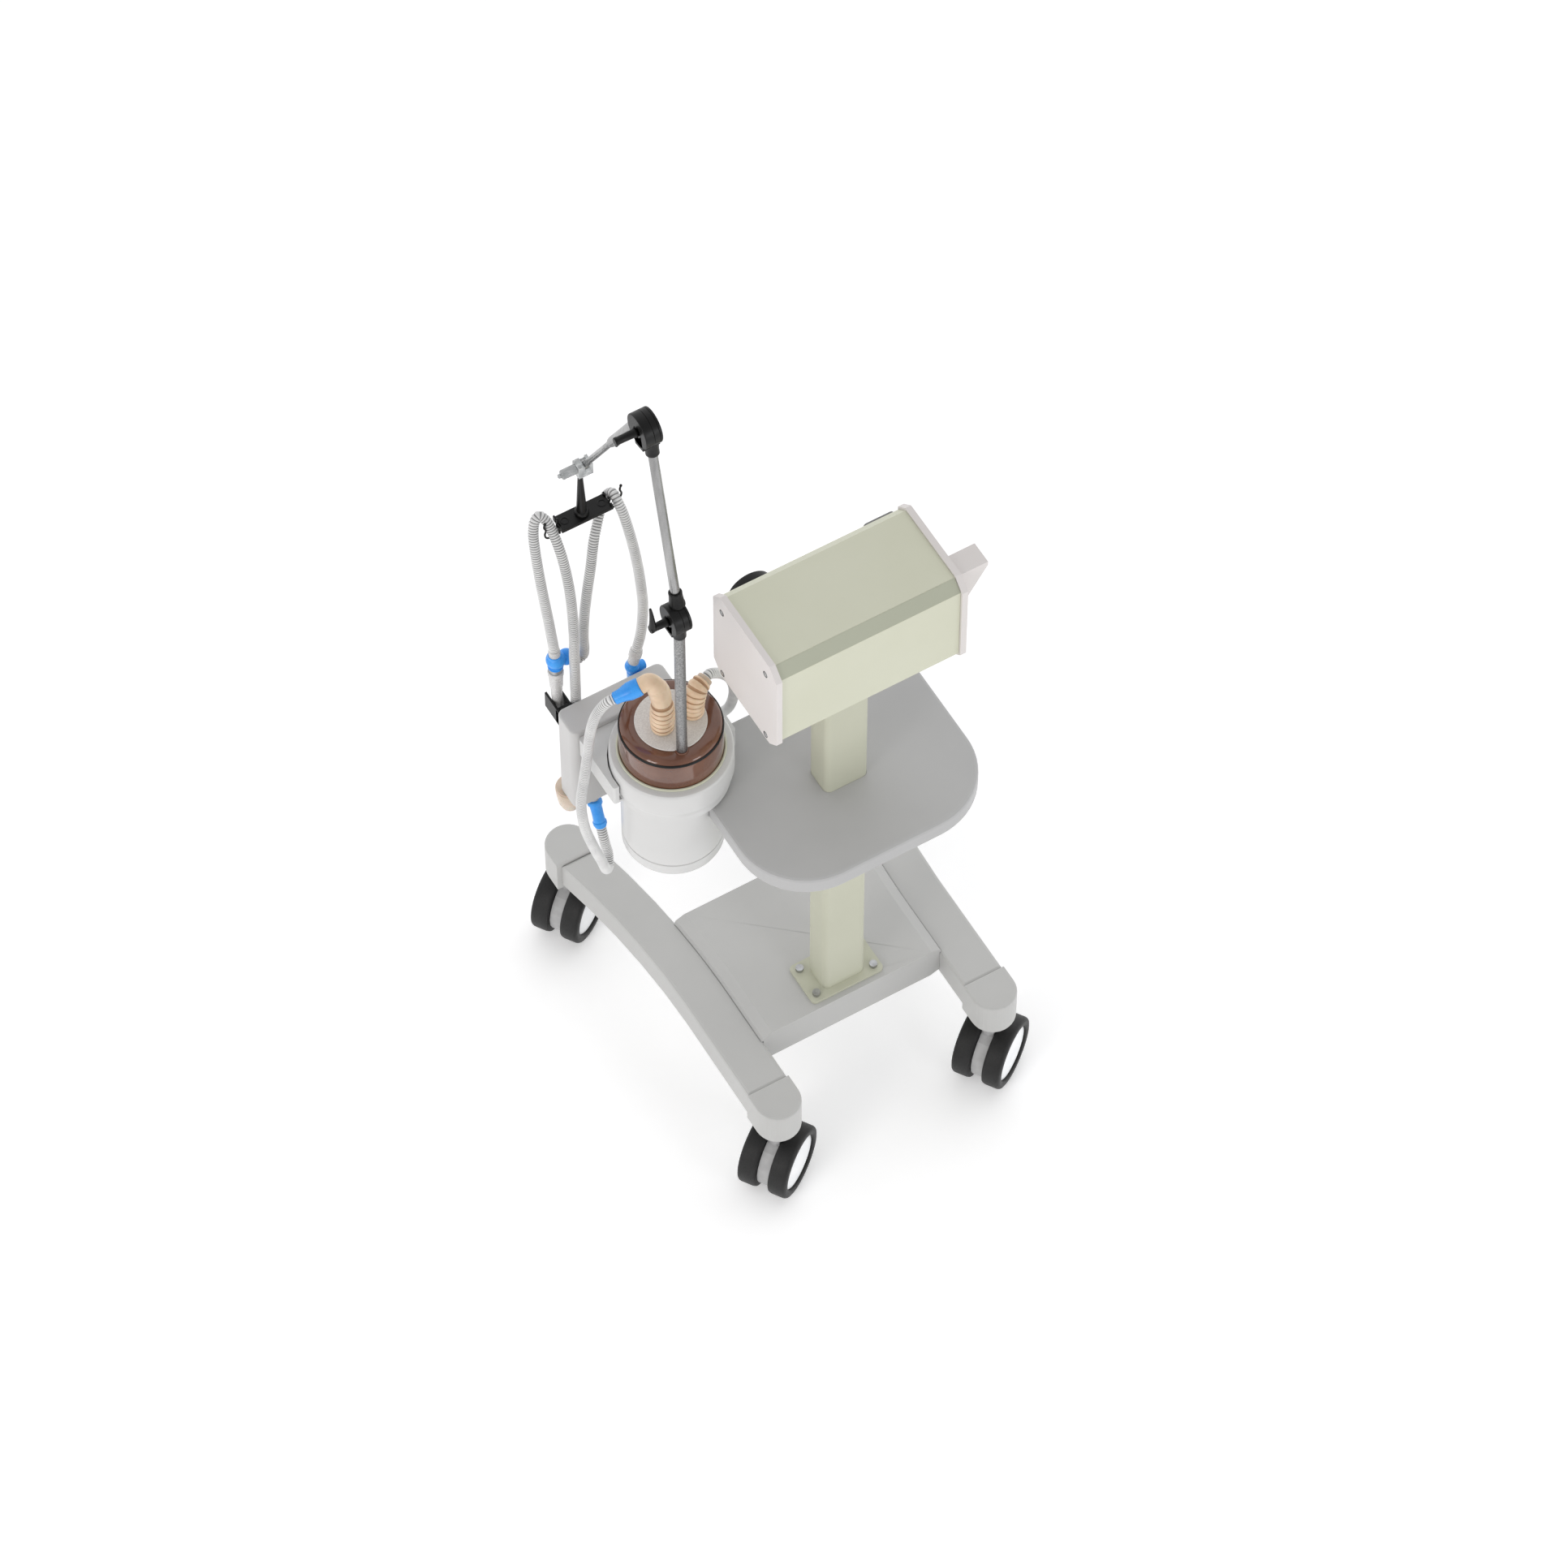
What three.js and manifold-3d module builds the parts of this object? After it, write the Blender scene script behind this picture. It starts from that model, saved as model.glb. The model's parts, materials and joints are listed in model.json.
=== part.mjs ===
// A hospital ventilator on a wheeled stand, with its heated humidifier and hose support arm.
// Millimetres, +Z up. The stand's column is the axis x = y = 0 while the pieces are laid out:
// +X is the humidifier's side, +Y is the rear, and the control panel faces -Y.
// At the end everything moves so that the origin is under the middle of the outer box.

import * as THREE from "three";
import { mergeVertices } from "three/addons/utils/BufferGeometryUtils.js";
import Module from "manifold-3d";

const wasm = await Module();
wasm.setup();

// ---------------------------------------------------------------- driving dimensions

const GAP = 0.3; // left between pieces that touch
const TURN_GAP = 0.6; // left around a shaft that turns, measured to the facets' corners

// The floor's height in the design frame. The stand's own heights are counted from it.
const FLOOR = -11;
const WHEEL = { diameter: 125, tread: 31, overall: 84, trail: 2.2 };
const CASTER_ANGLE = (34 * Math.PI) / 180; // the way all four casters trail
const CASTER_SPOTS = {
  rear_left: [197, 152],
  rear_right: [-197, 152],
  front_left: [244, -426],
  front_right: [-244, -426],
};
const CAP = { radius: 37.7, reach: 30, bottom: 156, top: 226 };
const LEG = { width: 71, bottom: 163, top: 222, middle: 197, straight: -56, bow: 0.00035 };
const PLATE = { front: -211, rear: 48, bottom: 166, top: 236, roll: 23, over: 7 };

const COLUMN = { width: 75, depth: 54, corner: 11, wall: 4 };
const FLANGE = { width: 130, depth: 78, thick: 6, boltX: 52, boltY: 26, hole: 4.6 };
const SHELF = { half: 200, front: -159, rear: 160, top: 795, thick: 34, corner: 115, nose: 50 };

const HEAD = {
  inside: 152, // half the distance between the side plates
  plate: 10,
  half: 87,
  bottom: 1091,
  top: 1282,
  chamfer: 18,
  sheet: 2.5,
  lip: 4, // how far the side plates stand out past the sheets
};

const KNOB = { x: -50, z: 1169 };
const BUTTON = { x: -5, z: 1168 };
const PORTS = { x: [-35, 15], z: 1128 };

const HUMIDIFIER = { x: 219.5, y: -122.5, bottom: 635, rest: 800, collarTop: 874, lid: 941 };
const HUMIDIFIER_RADII = { base: 79, collar: 95, step: 90, chamber: 79.5, disc: 55 };
const BOX = { x0: 153, x1: 335, y0: -272, y1: -219.5, z0: 657, z1: 861 };

// The support arm lies in the plane x = ARM.x: a pole, two knuckles, and a forearm that dips forwards.
const ARM = { x: 231, y: -70, foot: 905, lowerRadius: 8.5, upperRadius: 7.25 };
const KNUCKLE_1 = { z: 1292, radius: 25, socket: 24, handle: 30, horn: 50, hornRadius: 7 };
const KNUCKLE_2 = { z: 1667, radius: 28, socket: 24, handle: 36, horn: -12, hornRadius: 5 };
const KNUCKLE = { far: -9, tongue: 4.6, near: 19, socketRadius: 10, neck: 1.5, bolt: 4 };
const UPPER_LEAN = (11.65 * Math.PI) / 180;
const FOREARM = { aside: 15.5, wide: 204, length: 382, wideRadius: 8, rodRadius: 5, dip: (61.4 * Math.PI) / 180 };
const EYE = { radius: 7, half: 4, screw: 2.5, rodEnd: 15 }; // the flat eye at the forearm's end
const HOLDER = { x: 239, postTop: 1323, barTop: 1223, barThick: 6.5, bar: [193, 280], width: 29 };
const CLIP = { room: 19.4, wall: 2, bottom: 1197, top: 1241, tall: 1232 };

const HOSE = { radius: 8.25, sides: 8 };
const ELBOW = { bend: 14.5, waist: 16, foot: 18.5, wide: 17.5 };

// ---------------------------------------------------------------- small tools

function finish(color, roughness, metalness = 0) {
  return new THREE.MeshStandardMaterial({ color, roughness, metalness });
}

const cream = () => finish(0xc3c4b2, 0.55);
const white = () => finish(0xd8d5d2, 0.5);
const grey = () => finish(0xbcbcbc, 0.5);
const darkGrey = () => finish(0x8a8a8a, 0.55);
const black = () => finish(0x191919, 0.4);
const steel = () => finish(0x9a9a9a, 0.3, 1);
const blue = () => finish(0x3f97ea, 0.4);
const amber = () => finish(0x5a2f1c, 0.1);
const beige = () => finish(0xe2c39c, 0.35);
const hoseWhite = () => finish(0xd6d7d6, 0.45);

/** A geometry with shared corners and its faces turned outwards. */
function closed(geometry) {
  const bare = geometry.index ? geometry.toNonIndexed() : geometry.clone();
  bare.deleteAttribute("normal");
  bare.deleteAttribute("uv");
  const merged = mergeVertices(bare, 1e-4);
  const spot = merged.attributes.position;
  const index = Array.from(merged.index.array);
  const [a, b, c] = [new THREE.Vector3(), new THREE.Vector3(), new THREE.Vector3()];
  const kept = [];
  let volume = 0;
  for (let i = 0; i < index.length; i += 3) {
    const [p, q, r] = [index[i], index[i + 1], index[i + 2]];
    if (p === q || q === r || r === p) continue;
    kept.push(p, q, r);
    a.fromBufferAttribute(spot, p);
    b.fromBufferAttribute(spot, q);
    c.fromBufferAttribute(spot, r);
    volume += a.dot(b.cross(c)) / 6;
  }
  merged.setIndex(volume < 0 ? kept.reverse() : kept);
  merged.computeVertexNormals();
  return merged;
}

function toSolid(geometry) {
  const mesh = closed(geometry);
  return new wasm.Manifold(
    new wasm.Mesh({
      numProp: 3,
      vertProperties: new Float32Array(mesh.attributes.position.array),
      triVerts: new Uint32Array(mesh.index.array),
    }),
  );
}

function fromSolid(solid) {
  const mesh = solid.getMesh();
  const geometry = new THREE.BufferGeometry();
  geometry.setAttribute("position", new THREE.BufferAttribute(mesh.vertProperties, 3));
  geometry.setIndex(new THREE.BufferAttribute(mesh.triVerts, 1));
  geometry.computeVertexNormals();
  return geometry;
}

function join(first, ...others) {
  return fromSolid(others.reduce((sum, other) => sum.add(toSolid(other)), toSolid(first)));
}

function cut(first, ...others) {
  return fromSolid(others.reduce((rest, other) => rest.subtract(toSolid(other)), toSolid(first)));
}

/** A flat outline in X and Y pulled up from z0 to z1. */
function upright(shape, z0, z1, curveSegments = 4) {
  const options = { depth: z1 - z0, bevelEnabled: false, curveSegments };
  return closed(new THREE.ExtrudeGeometry(shape, options).translate(0, 0, z0));
}

/** The same with its top and bottom edges rounded over, keeping its outer size. */
function padded(shape, z0, z1, bevel, curveSegments = 4) {
  const options = {
    depth: z1 - z0 - 2 * bevel,
    bevelSize: bevel,
    bevelThickness: bevel,
    bevelOffset: -bevel,
    bevelSegments: 2,
    curveSegments,
  };
  return closed(new THREE.ExtrudeGeometry(shape, options).translate(0, 0, z0 + bevel));
}

/** A flat outline drawn in Y and Z, pulled along X from x0 to x1. */
function sideways(outline, x0, x1) {
  const shape = new THREE.Shape(outline.map(([y, z]) => new THREE.Vector2(y, z)));
  const options = { depth: x1 - x0, bevelEnabled: false };
  const geometry = new THREE.ExtrudeGeometry(shape, options);
  const turn = new THREE.Matrix4().makeBasis(
    new THREE.Vector3(0, 1, 0),
    new THREE.Vector3(0, 0, 1),
    new THREE.Vector3(1, 0, 0),
  );
  return closed(geometry.applyMatrix4(turn).translate(x0, 0, 0));
}

/** A box between two corners. */
function block(x0, x1, y0, y1, z0, z1) {
  const geometry = new THREE.BoxGeometry(x1 - x0, y1 - y0, z1 - z0);
  return geometry.translate((x0 + x1) / 2, (y0 + y1) / 2, (z0 + z1) / 2);
}

/** How many facets go around a round piece of this radius. */
function facets(radius) {
  if (radius < 12) return 12;
  return radius < 30 ? 20 : 30;
}

/** A turned piece: a list of [radius, height] around the Z axis. */
function turned(profile) {
  const points = profile.map(([radius, height]) => new THREE.Vector2(radius, height));
  const widest = Math.max(...profile.map(([radius]) => radius));
  return closed(new THREE.LatheGeometry(points, facets(widest)).rotateX(Math.PI / 2));
}

/** A round rod between two points. */
function rod(from, to, radius, endRadius = radius) {
  const start = new THREE.Vector3(...from);
  const end = new THREE.Vector3(...to);
  const length = start.distanceTo(end);
  const geometry = new THREE.CylinderGeometry(endRadius, radius, length, facets(radius));
  const way = end.clone().sub(start).normalize();
  const turn = new THREE.Quaternion().setFromUnitVectors(new THREE.Vector3(0, 1, 0), way);
  const middle = start.add(end).multiplyScalar(0.5);
  return geometry.applyQuaternion(turn).translate(middle.x, middle.y, middle.z);
}

/** A ball around a point. */
function ball(centre, radius) {
  return new THREE.SphereGeometry(radius, 16, 10).translate(...centre);
}

function roundedRectangle(x0, x1, y0, y1, radius) {
  const shape = new THREE.Shape();
  shape.moveTo(x0 + radius, y0);
  shape.lineTo(x1 - radius, y0);
  shape.absarc(x1 - radius, y0 + radius, radius, -Math.PI / 2, 0);
  shape.lineTo(x1, y1 - radius);
  shape.absarc(x1 - radius, y1 - radius, radius, 0, Math.PI / 2);
  shape.lineTo(x0 + radius, y1);
  shape.absarc(x0 + radius, y1 - radius, radius, Math.PI / 2, Math.PI);
  shape.lineTo(x0, y0 + radius);
  shape.absarc(x0 + radius, y0 + radius, radius, Math.PI, Math.PI * 1.5);
  return shape;
}

/** A tube of round section that follows a smooth line through the points. */
function hoseAlong(points, radius, steps, sides) {
  const line = new THREE.CatmullRomCurve3(
    points.map((point) => new THREE.Vector3(...point)),
    false,
    "centripetal",
  );
  const section = new THREE.Shape();
  for (let i = 0; i < sides; i += 1) {
    const angle = (2 * Math.PI * i) / sides;
    const corner = [radius * Math.cos(angle), radius * Math.sin(angle)];
    if (i === 0) section.moveTo(...corner);
    else section.lineTo(...corner);
  }
  section.closePath();
  return closed(new THREE.ExtrudeGeometry(section, { steps, extrudePath: line, bevelEnabled: false }));
}

const root = new THREE.Group();
const stand = new THREE.Group();
stand.position.z = FLOOR;
root.add(stand);

function add(parent, name, geometry, material) {
  const mesh = new THREE.Mesh(geometry, material);
  mesh.name = name;
  parent.add(mesh);
  return mesh;
}

function groupAt(parent, x, y, z) {
  const group = new THREE.Group();
  group.position.set(x, y, z);
  parent.add(group);
  return group;
}

// ---------------------------------------------------------------- the stand

/** How far from the column a leg's middle line lies, at a place along it. */
function legMiddle(y) {
  const past = Math.min(0, y - LEG.straight);
  return LEG.middle + LEG.bow * past * past;
}

/** A leg's edge in plan, from one end to the other, moved out from its middle line by a margin. */
function legEdge(side, from, to, steps, margin = 0) {
  const points = [];
  for (let i = 0; i <= steps; i += 1) {
    const y = from + ((to - from) * i) / steps;
    points.push(new THREE.Vector2(legMiddle(y) + side * (LEG.width / 2 + margin), y));
  }
  return points;
}

function mirrored(points, side) {
  return points.map((point) => new THREE.Vector2(side * point.x, point.y));
}

function addLeg(name, side) {
  const front = CASTER_SPOTS.front_left[1] + CAP.reach + GAP;
  const rear = CASTER_SPOTS.rear_left[1] - CAP.reach - GAP;
  const outline = [...legEdge(1, front, rear, 8), ...legEdge(-1, rear, front, 8)];
  const shape = new THREE.Shape(mirrored(outline, side));
  add(stand, name, padded(shape, LEG.bottom, LEG.top, 5), grey());
}

/** The rounded end of a leg, with a socket for the caster's stem. */
function addLegCap(name, [x, y]) {
  const out = Math.sign(y);
  const shape = new THREE.Shape();
  shape.moveTo(-CAP.radius, -out * CAP.reach);
  shape.lineTo(-CAP.radius, 0);
  shape.absarc(0, 0, CAP.radius, Math.PI, 0, out > 0);
  shape.lineTo(CAP.radius, -out * CAP.reach);
  const stemHole = rod([0, 0, CAP.bottom - 1], [0, 0, CAP.bottom + 36], 6 + TURN_GAP);
  const cap = cut(padded(shape, CAP.bottom, CAP.top, 3, 8), stemHole);
  add(groupAt(stand, x, y, 0), name, cap, grey());
}

/** The plate between the legs: its rolled sides rest on them, and its ends are cut square. */
function addBasePlate() {
  const { front, rear, bottom, top, roll, over } = PLATE;
  const [from, to] = [front - roll, rear + roll];
  const side = legEdge(-1, from, to, 8, -over);
  const shape = new THREE.Shape([...side, ...mirrored(side, -1).reverse()]);
  const leg = [...legEdge(-1, from, to, 8, GAP), ...legEdge(1, to, from, 8)];
  const legRooms = [1, -1].map((which) => {
    return upright(new THREE.Shape(mirrored(leg, which)), bottom - roll, LEG.top + GAP);
  });
  const beyondLegs = LEG.middle + LEG.width;
  const ends = [
    block(-beyondLegs, beyondLegs, from - roll, front, bottom - 1, top + 1),
    block(-beyondLegs, beyondLegs, rear, to + roll, bottom - 1, top + 1),
  ];
  const bolts = boltHoles(bottom - 1, top + 1);
  add(stand, "base_plate", cut(padded(shape, bottom, top, roll), ...legRooms, ...ends, ...bolts), grey());
}

/** Four upright holes for the flange's bolts. */
function boltHoles(z0, z1) {
  const holes = [];
  for (const x of [-FLANGE.boltX, FLANGE.boltX]) {
    for (const y of [-FLANGE.boltY, FLANGE.boltY]) {
      holes.push(rod([x, y, z0], [x, y, z1], FLANGE.hole));
    }
  }
  return holes;
}

function columnSection(inset) {
  const [x, y] = [COLUMN.width / 2 - inset, COLUMN.depth / 2 - inset];
  return roundedRectangle(-x, x, -y, y, COLUMN.corner - inset);
}

function addColumn() {
  const foot = FLOOR + PLATE.top + GAP;
  const top = HEAD.bottom - GAP;
  const tube = upright(columnSection(0), foot, top, 4);
  const bore = upright(columnSection(COLUMN.wall), foot - 1, top + 1, 4);
  const [x, y] = [FLANGE.width / 2, FLANGE.depth / 2];
  const flange = upright(roundedRectangle(-x, x, -y, y, 8), foot, foot + FLANGE.thick, 3);
  const holes = boltHoles(foot - 1, foot + FLANGE.thick + 1);
  add(root, "column", cut(join(tube, flange), bore, ...holes), cream());
}

/** Four bolts through the flange and the base plate into one threaded strip. */
function addFlangeBolts() {
  const seat = PLATE.top + GAP + FLANGE.thick + GAP;
  const under = PLATE.bottom - GAP;
  const pieces = [block(-62, 62, -34, 34, under - 4, under)];
  for (const x of [-FLANGE.boltX, FLANGE.boltX]) {
    for (const y of [-FLANGE.boltY, FLANGE.boltY]) {
      pieces.push(rod([x, y, under - 2], [x, y, seat + 1], 4));
      pieces.push(rod([x, y, seat], [x, y, seat + 6.5], 6.5));
    }
  }
  add(stand, "flange_bolts", join(...pieces), steel());
}

function addShelf() {
  const shape = new THREE.Shape();
  shape.moveTo(-SHELF.half + SHELF.nose, SHELF.front);
  shape.lineTo(SHELF.half - SHELF.nose, SHELF.front);
  shape.absarc(SHELF.half - SHELF.nose, SHELF.front + SHELF.nose, SHELF.nose, -Math.PI / 2, 0);
  shape.lineTo(SHELF.half, SHELF.rear - SHELF.corner);
  const arc = [SHELF.half - SHELF.corner, SHELF.rear - SHELF.corner, SHELF.corner];
  shape.absarc(...arc, 0, Math.PI / 2);
  shape.lineTo(-arc[0], SHELF.rear);
  shape.absarc(-arc[0], arc[1], arc[2], Math.PI / 2, Math.PI);
  shape.lineTo(-SHELF.half, SHELF.front + SHELF.nose);
  const nose = [-SHELF.half + SHELF.nose, SHELF.front + SHELF.nose, SHELF.nose];
  shape.absarc(...nose, Math.PI, Math.PI * 1.5);
  const slab = padded(shape, SHELF.top - SHELF.thick, SHELF.top, 5, 7);
  const { x, y } = HUMIDIFIER;
  const reach = HUMIDIFIER_RADII.base + 2;
  const notch = rod([x, y, SHELF.top - 60], [x, y, SHELF.top + 10], reach);
  const hole = upright(columnSection(-GAP), SHELF.top - 60, SHELF.top + 10, 4);
  add(root, "shelf", cut(slab, notch, hole), grey());
}

function addCaster(name, [x, y]) {
  const swivel = groupAt(stand, x, y, 0);
  swivel.rotation.z = CASTER_ANGLE;
  const axle = WHEEL.diameter / 2;
  const inner = WHEEL.overall / 2 - WHEEL.tread;
  const yoke = inner - 1;

  // The housing between the wheels: a hood over the axle, a turntable and the stem.
  const hoodProfile = new THREE.Shape();
  hoodProfile.absarc(WHEEL.trail, axle, 53, -0.35 * Math.PI, 1.35 * Math.PI);
  const options = { depth: 2 * yoke, bevelEnabled: false, curveSegments: 9 };
  const hood = new THREE.ExtrudeGeometry(hoodProfile, options);
  hood.rotateX(Math.PI / 2).translate(0, yoke, 0);
  const neck = rod([0, 0, axle + 30], [0, 0, CAP.bottom - 8], 17, 20);
  const turntable = rod([0, 0, CAP.bottom - 12], [0, 0, CAP.bottom - GAP], 25);
  const stem = rod([0, 0, CAP.bottom - 2], [0, 0, CAP.bottom + 34], 6);
  const wheelRoom = [];
  for (const side of [-1, 1]) {
    const [from, to] = [side * (inner - 0.7), side * (WHEEL.overall / 2 + 2)];
    const room = [WHEEL.trail, axle];
    wheelRoom.push(rod([room[0], from, room[1]], [room[0], to, room[1]], axle + 2));
  }
  const bore = rod([WHEEL.trail, -30, axle], [WHEEL.trail, 30, axle], 5 + TURN_GAP);
  const housing = cut(join(hood, neck, turntable, stem), ...wheelRoom, bore);
  add(swivel, `caster_${name}_housing`, housing, darkGrey());

  // Two wheels on one axle.
  const wheels = groupAt(swivel, WHEEL.trail, 0, axle);
  const half = WHEEL.overall / 2;
  const tyre = [
    [0, inner],
    [axle - 4, inner],
    [axle, inner + 5],
    [axle, half - 5],
    [axle - 4, half],
    [0, half],
  ];
  const outer = turned(tyre);
  const wheelA = outer.clone().rotateX(-Math.PI / 2);
  const wheelB = outer.clone().rotateX(Math.PI / 2);
  const shaft = rod([0, -inner - 2, 0], [0, inner + 2, 0], 5);
  add(wheels, `caster_${name}_wheels`, join(wheelA, wheelB, shaft), black());
}

// ---------------------------------------------------------------- the ventilator's head

/** The eight corners of the head's section, grown outwards by a margin. */
function headSection(grow) {
  const [y, z0, z1] = [HEAD.half + grow, HEAD.bottom - grow, HEAD.top + grow];
  const c = HEAD.chamfer + grow * (2 - Math.SQRT2);
  return [
    [-y + c, z0],
    [y - c, z0],
    [y, z0 + c],
    [y, z1 - c],
    [y - c, z1],
    [-y + c, z1],
    [-y, z1 - c],
    [-y, z0 + c],
  ];
}

/** A bent sheet along part of the section, from one corner to another. */
function bentSheet(from, count) {
  const pick = (corners, i) => corners[(from + i) % 8];
  const outside = headSection(0);
  const inside = headSection(-HEAD.sheet);
  const outline = [];
  for (let i = 0; i < count; i += 1) outline.push(pick(outside, i));
  for (let i = count - 1; i >= 0; i -= 1) outline.push(pick(inside, i));
  return sideways(outline, -HEAD.inside + GAP, HEAD.inside - GAP);
}

function addHead() {
  const outerX = HEAD.inside + HEAD.plate;
  for (const [name, side] of [["left", 1], ["right", -1]]) {
    const [a, b] = [side * HEAD.inside, side * outerX];
    const plate = sideways(headSection(HEAD.lip), Math.min(a, b), Math.max(a, b));
    add(root, `head_side_plate_${name}`, plate, white());
  }
  add(root, "head_rear_top_cover", bentSheet(1, 6), cream());
  const front = -HEAD.half;
  const panelZ = [HEAD.bottom + HEAD.chamfer + GAP, HEAD.top - HEAD.chamfer - HEAD.sheet / 2 - GAP];
  const face = block(-HEAD.inside + GAP, HEAD.inside - GAP, front, front + 3, ...panelZ);
  const knobHole = rod([KNOB.x, front - 1, KNOB.z], [KNOB.x, front + 9, KNOB.z], 4 + TURN_GAP);
  const buttonHole = rod([BUTTON.x, front - 1, BUTTON.z], [BUTTON.x, front + 9, BUTTON.z], 8.4);
  const ports = PORTS.x.map((x) => rod([x, front + 1, PORTS.z], [x, front - 22, PORTS.z], 11, 10));
  const panel = cut(join(face, ...ports), knobHole, buttonHole);
  add(root, "head_front_panel", panel, cream());
  const tray = block(-HEAD.inside + GAP, HEAD.inside - GAP, -69 + GAP, 69 - GAP - 3, 1091, 1094);
  const chamferSheet = sideways(
    [
      [-HEAD.half, HEAD.bottom + HEAD.chamfer],
      [-HEAD.half + 18, HEAD.bottom],
      [-HEAD.half + 22, HEAD.bottom],
      [-HEAD.half + 22, HEAD.bottom + 3],
      [-HEAD.half + 3, HEAD.bottom + HEAD.chamfer],
    ],
    -HEAD.inside + GAP,
    HEAD.inside - GAP,
  );
  add(root, "head_bottom_tray", join(tray, chamferSheet), cream());
}

/** What the front carries: the display, the gauge, keys, a knob and a start button. */
function addFrontControls() {
  const front = -HEAD.half - GAP;
  const bezel = block(-85, 38, front - 5, front, 1188, 1252);
  const window = block(-79, 32, front - 6, front - 3, 1194, 1246);
  add(root, "display_screen", cut(bezel, window), black());

  const gauge = turned([[0, 0], [34, 0], [36, 4], [36, 26], [31, 30], [29, 27], [0, 27]]);
  gauge.rotateX(Math.PI / 2).translate(88, front, 1202);
  add(root, "pressure_gauge", gauge, black());

  const keys = padded(roundedRectangle(-149, -97, 1130, 1250, 6), 0, 12, 2, 3);
  keys.rotateX(Math.PI / 2).translate(0, front, 0);
  add(root, "key_panel", keys, darkGrey());

  const knob = groupAt(root, KNOB.x, -HEAD.half, KNOB.z);
  const grip = turned([[0, 1], [19, 1], [19, 5], [15, 8], [14, 20], [12, 22], [0, 22]]);
  const shaft = rod([0, 0, 2], [0, 0, -16], 4);
  add(knob, "control_knob", join(grip, shaft).rotateX(Math.PI / 2), black());

  const button = groupAt(root, BUTTON.x, -HEAD.half, BUTTON.z);
  const cap = turned([[0, -9], [8, -9], [8, 5], [7, 6], [0, 6]]);
  const flangeBehind = rod([0, 0, -12], [0, 0, -8], 10.5);
  add(button, "start_button", join(cap, flangeBehind).rotateX(Math.PI / 2), blue());
}

function addInternals() {
  const board = block(-120, 120, -60, -58, 1150, 1262);
  const parts = [
    block(-100, -60, -58.5, -50, 1180, 1220),
    block(-40, 10, -58.5, -46, 1200, 1240),
    block(30, 100, -58.5, -44, 1165, 1195),
    block(40, 80, -58.5, -48, 1215, 1245),
  ];
  add(root, "circuit_board", join(board, ...parts), finish(0x2f6b45, 0.6));

  const supply = block(-140, -60, -30, 60, 1094 + GAP, 1144);
  add(root, "power_supply", supply, finish(0xa8abad, 0.4, 0.8));

  const spiral = turned([[0, 0], [38, 0], [42, 6], [42, 30], [34, 40], [20, 44], [0, 44]]);
  const motor = rod([0, 0, 40], [0, 0, 78], 22);
  const outlet = block(0, 42, -60, 0, 8, 30);
  const blower = join(spiral, motor, outlet).translate(60, 16, HEAD.bottom + 3 + GAP);
  add(root, "blower", blower, darkGrey());
}

/** The wedge on the far side plate that takes the gas supply. */
function addGasInlet() {
  const face = -(HEAD.inside + HEAD.plate + GAP);
  const shape = new THREE.Shape();
  shape.moveTo(face, 1216);
  shape.lineTo(face, 1282);
  shape.lineTo(face - 46, 1282);
  shape.lineTo(face - 46, 1274);
  shape.lineTo(face - 12, 1216);
  const wedge = new THREE.ExtrudeGeometry(shape, { depth: 38, bevelEnabled: false });
  add(root, "gas_inlet", closed(wedge.rotateX(Math.PI / 2).translate(0, 70, 0)), white());
}

// ---------------------------------------------------------------- the humidifier

function addHumidifier() {
  const place = groupAt(root, HUMIDIFIER.x, HUMIDIFIER.y, 0);
  const { bottom, rest, collarTop, lid } = HUMIDIFIER;
  const { base, collar, step, chamber, disc } = HUMIDIFIER_RADII;
  const seat = collarTop - 26;
  const neck = base - 7;
  const housingProfile = [
    [0, bottom],
    [base - 5, bottom],
    [base, bottom + 5],
    [base, rest - 13],
    [neck, rest - 13],
    [neck, rest + GAP],
    [step, rest + GAP],
    [step, rest + 16],
    [collar, rest + 26],
    [collar, collarTop - 6],
    [collar - 4, collarTop],
    [chamber + 2, collarTop],
    [chamber + 2, seat],
    [neck - 4, seat],
    [neck - 4, bottom + 40],
    [0, bottom + 40],
  ];
  add(place, "humidifier_housing", turned(housingProfile), white());

  const heater = neck - 4 - GAP;
  const heaterProfile = [[0, seat - 12], [heater - 8, seat - 12], [heater - 8, seat - 6], [heater, seat - 6]];
  add(place, "heater_plate", turned([...heaterProfile, [heater, seat], [0, seat]]), steel());

  const wall = 3.5;
  const foot = seat + GAP;
  const poleX = ARM.x - HUMIDIFIER.x;
  const poleY = ARM.y - HUMIDIFIER.y;
  const domeProfile = [
    [chamber - wall, foot],
    [chamber, foot],
    [chamber, lid - 14],
    [chamber - 3, lid - 4],
    [chamber - 9, lid],
    [0, lid],
    [0, lid - wall],
    [chamber - 10, lid - wall],
    [chamber - wall, lid - 14],
    [chamber - wall, foot],
  ];
  const bossRadius = ARM.lowerRadius + 2.4;
  const poleHole = rod([poleX, poleY, lid - 20], [poleX, poleY, lid + 10], bossRadius + GAP);
  add(place, "water_chamber", cut(turned(domeProfile), poleHole), amber());

  // The white disc on the lid, with the deep boss that the support arm's pole turns in.
  const plate = turned([[0, lid + GAP], [disc, lid + GAP], [disc, lid + 3], [0, lid + 3]]);
  const boss = rod([poleX, poleY, ARM.foot - 6], [poleX, poleY, lid + 3], bossRadius);
  const bore = rod([poleX, poleY, ARM.foot - GAP], [poleX, poleY, lid + 10], ARM.lowerRadius + TURN_GAP);
  add(place, "chamber_disc", cut(join(plate, boss), bore), white());
}

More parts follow.
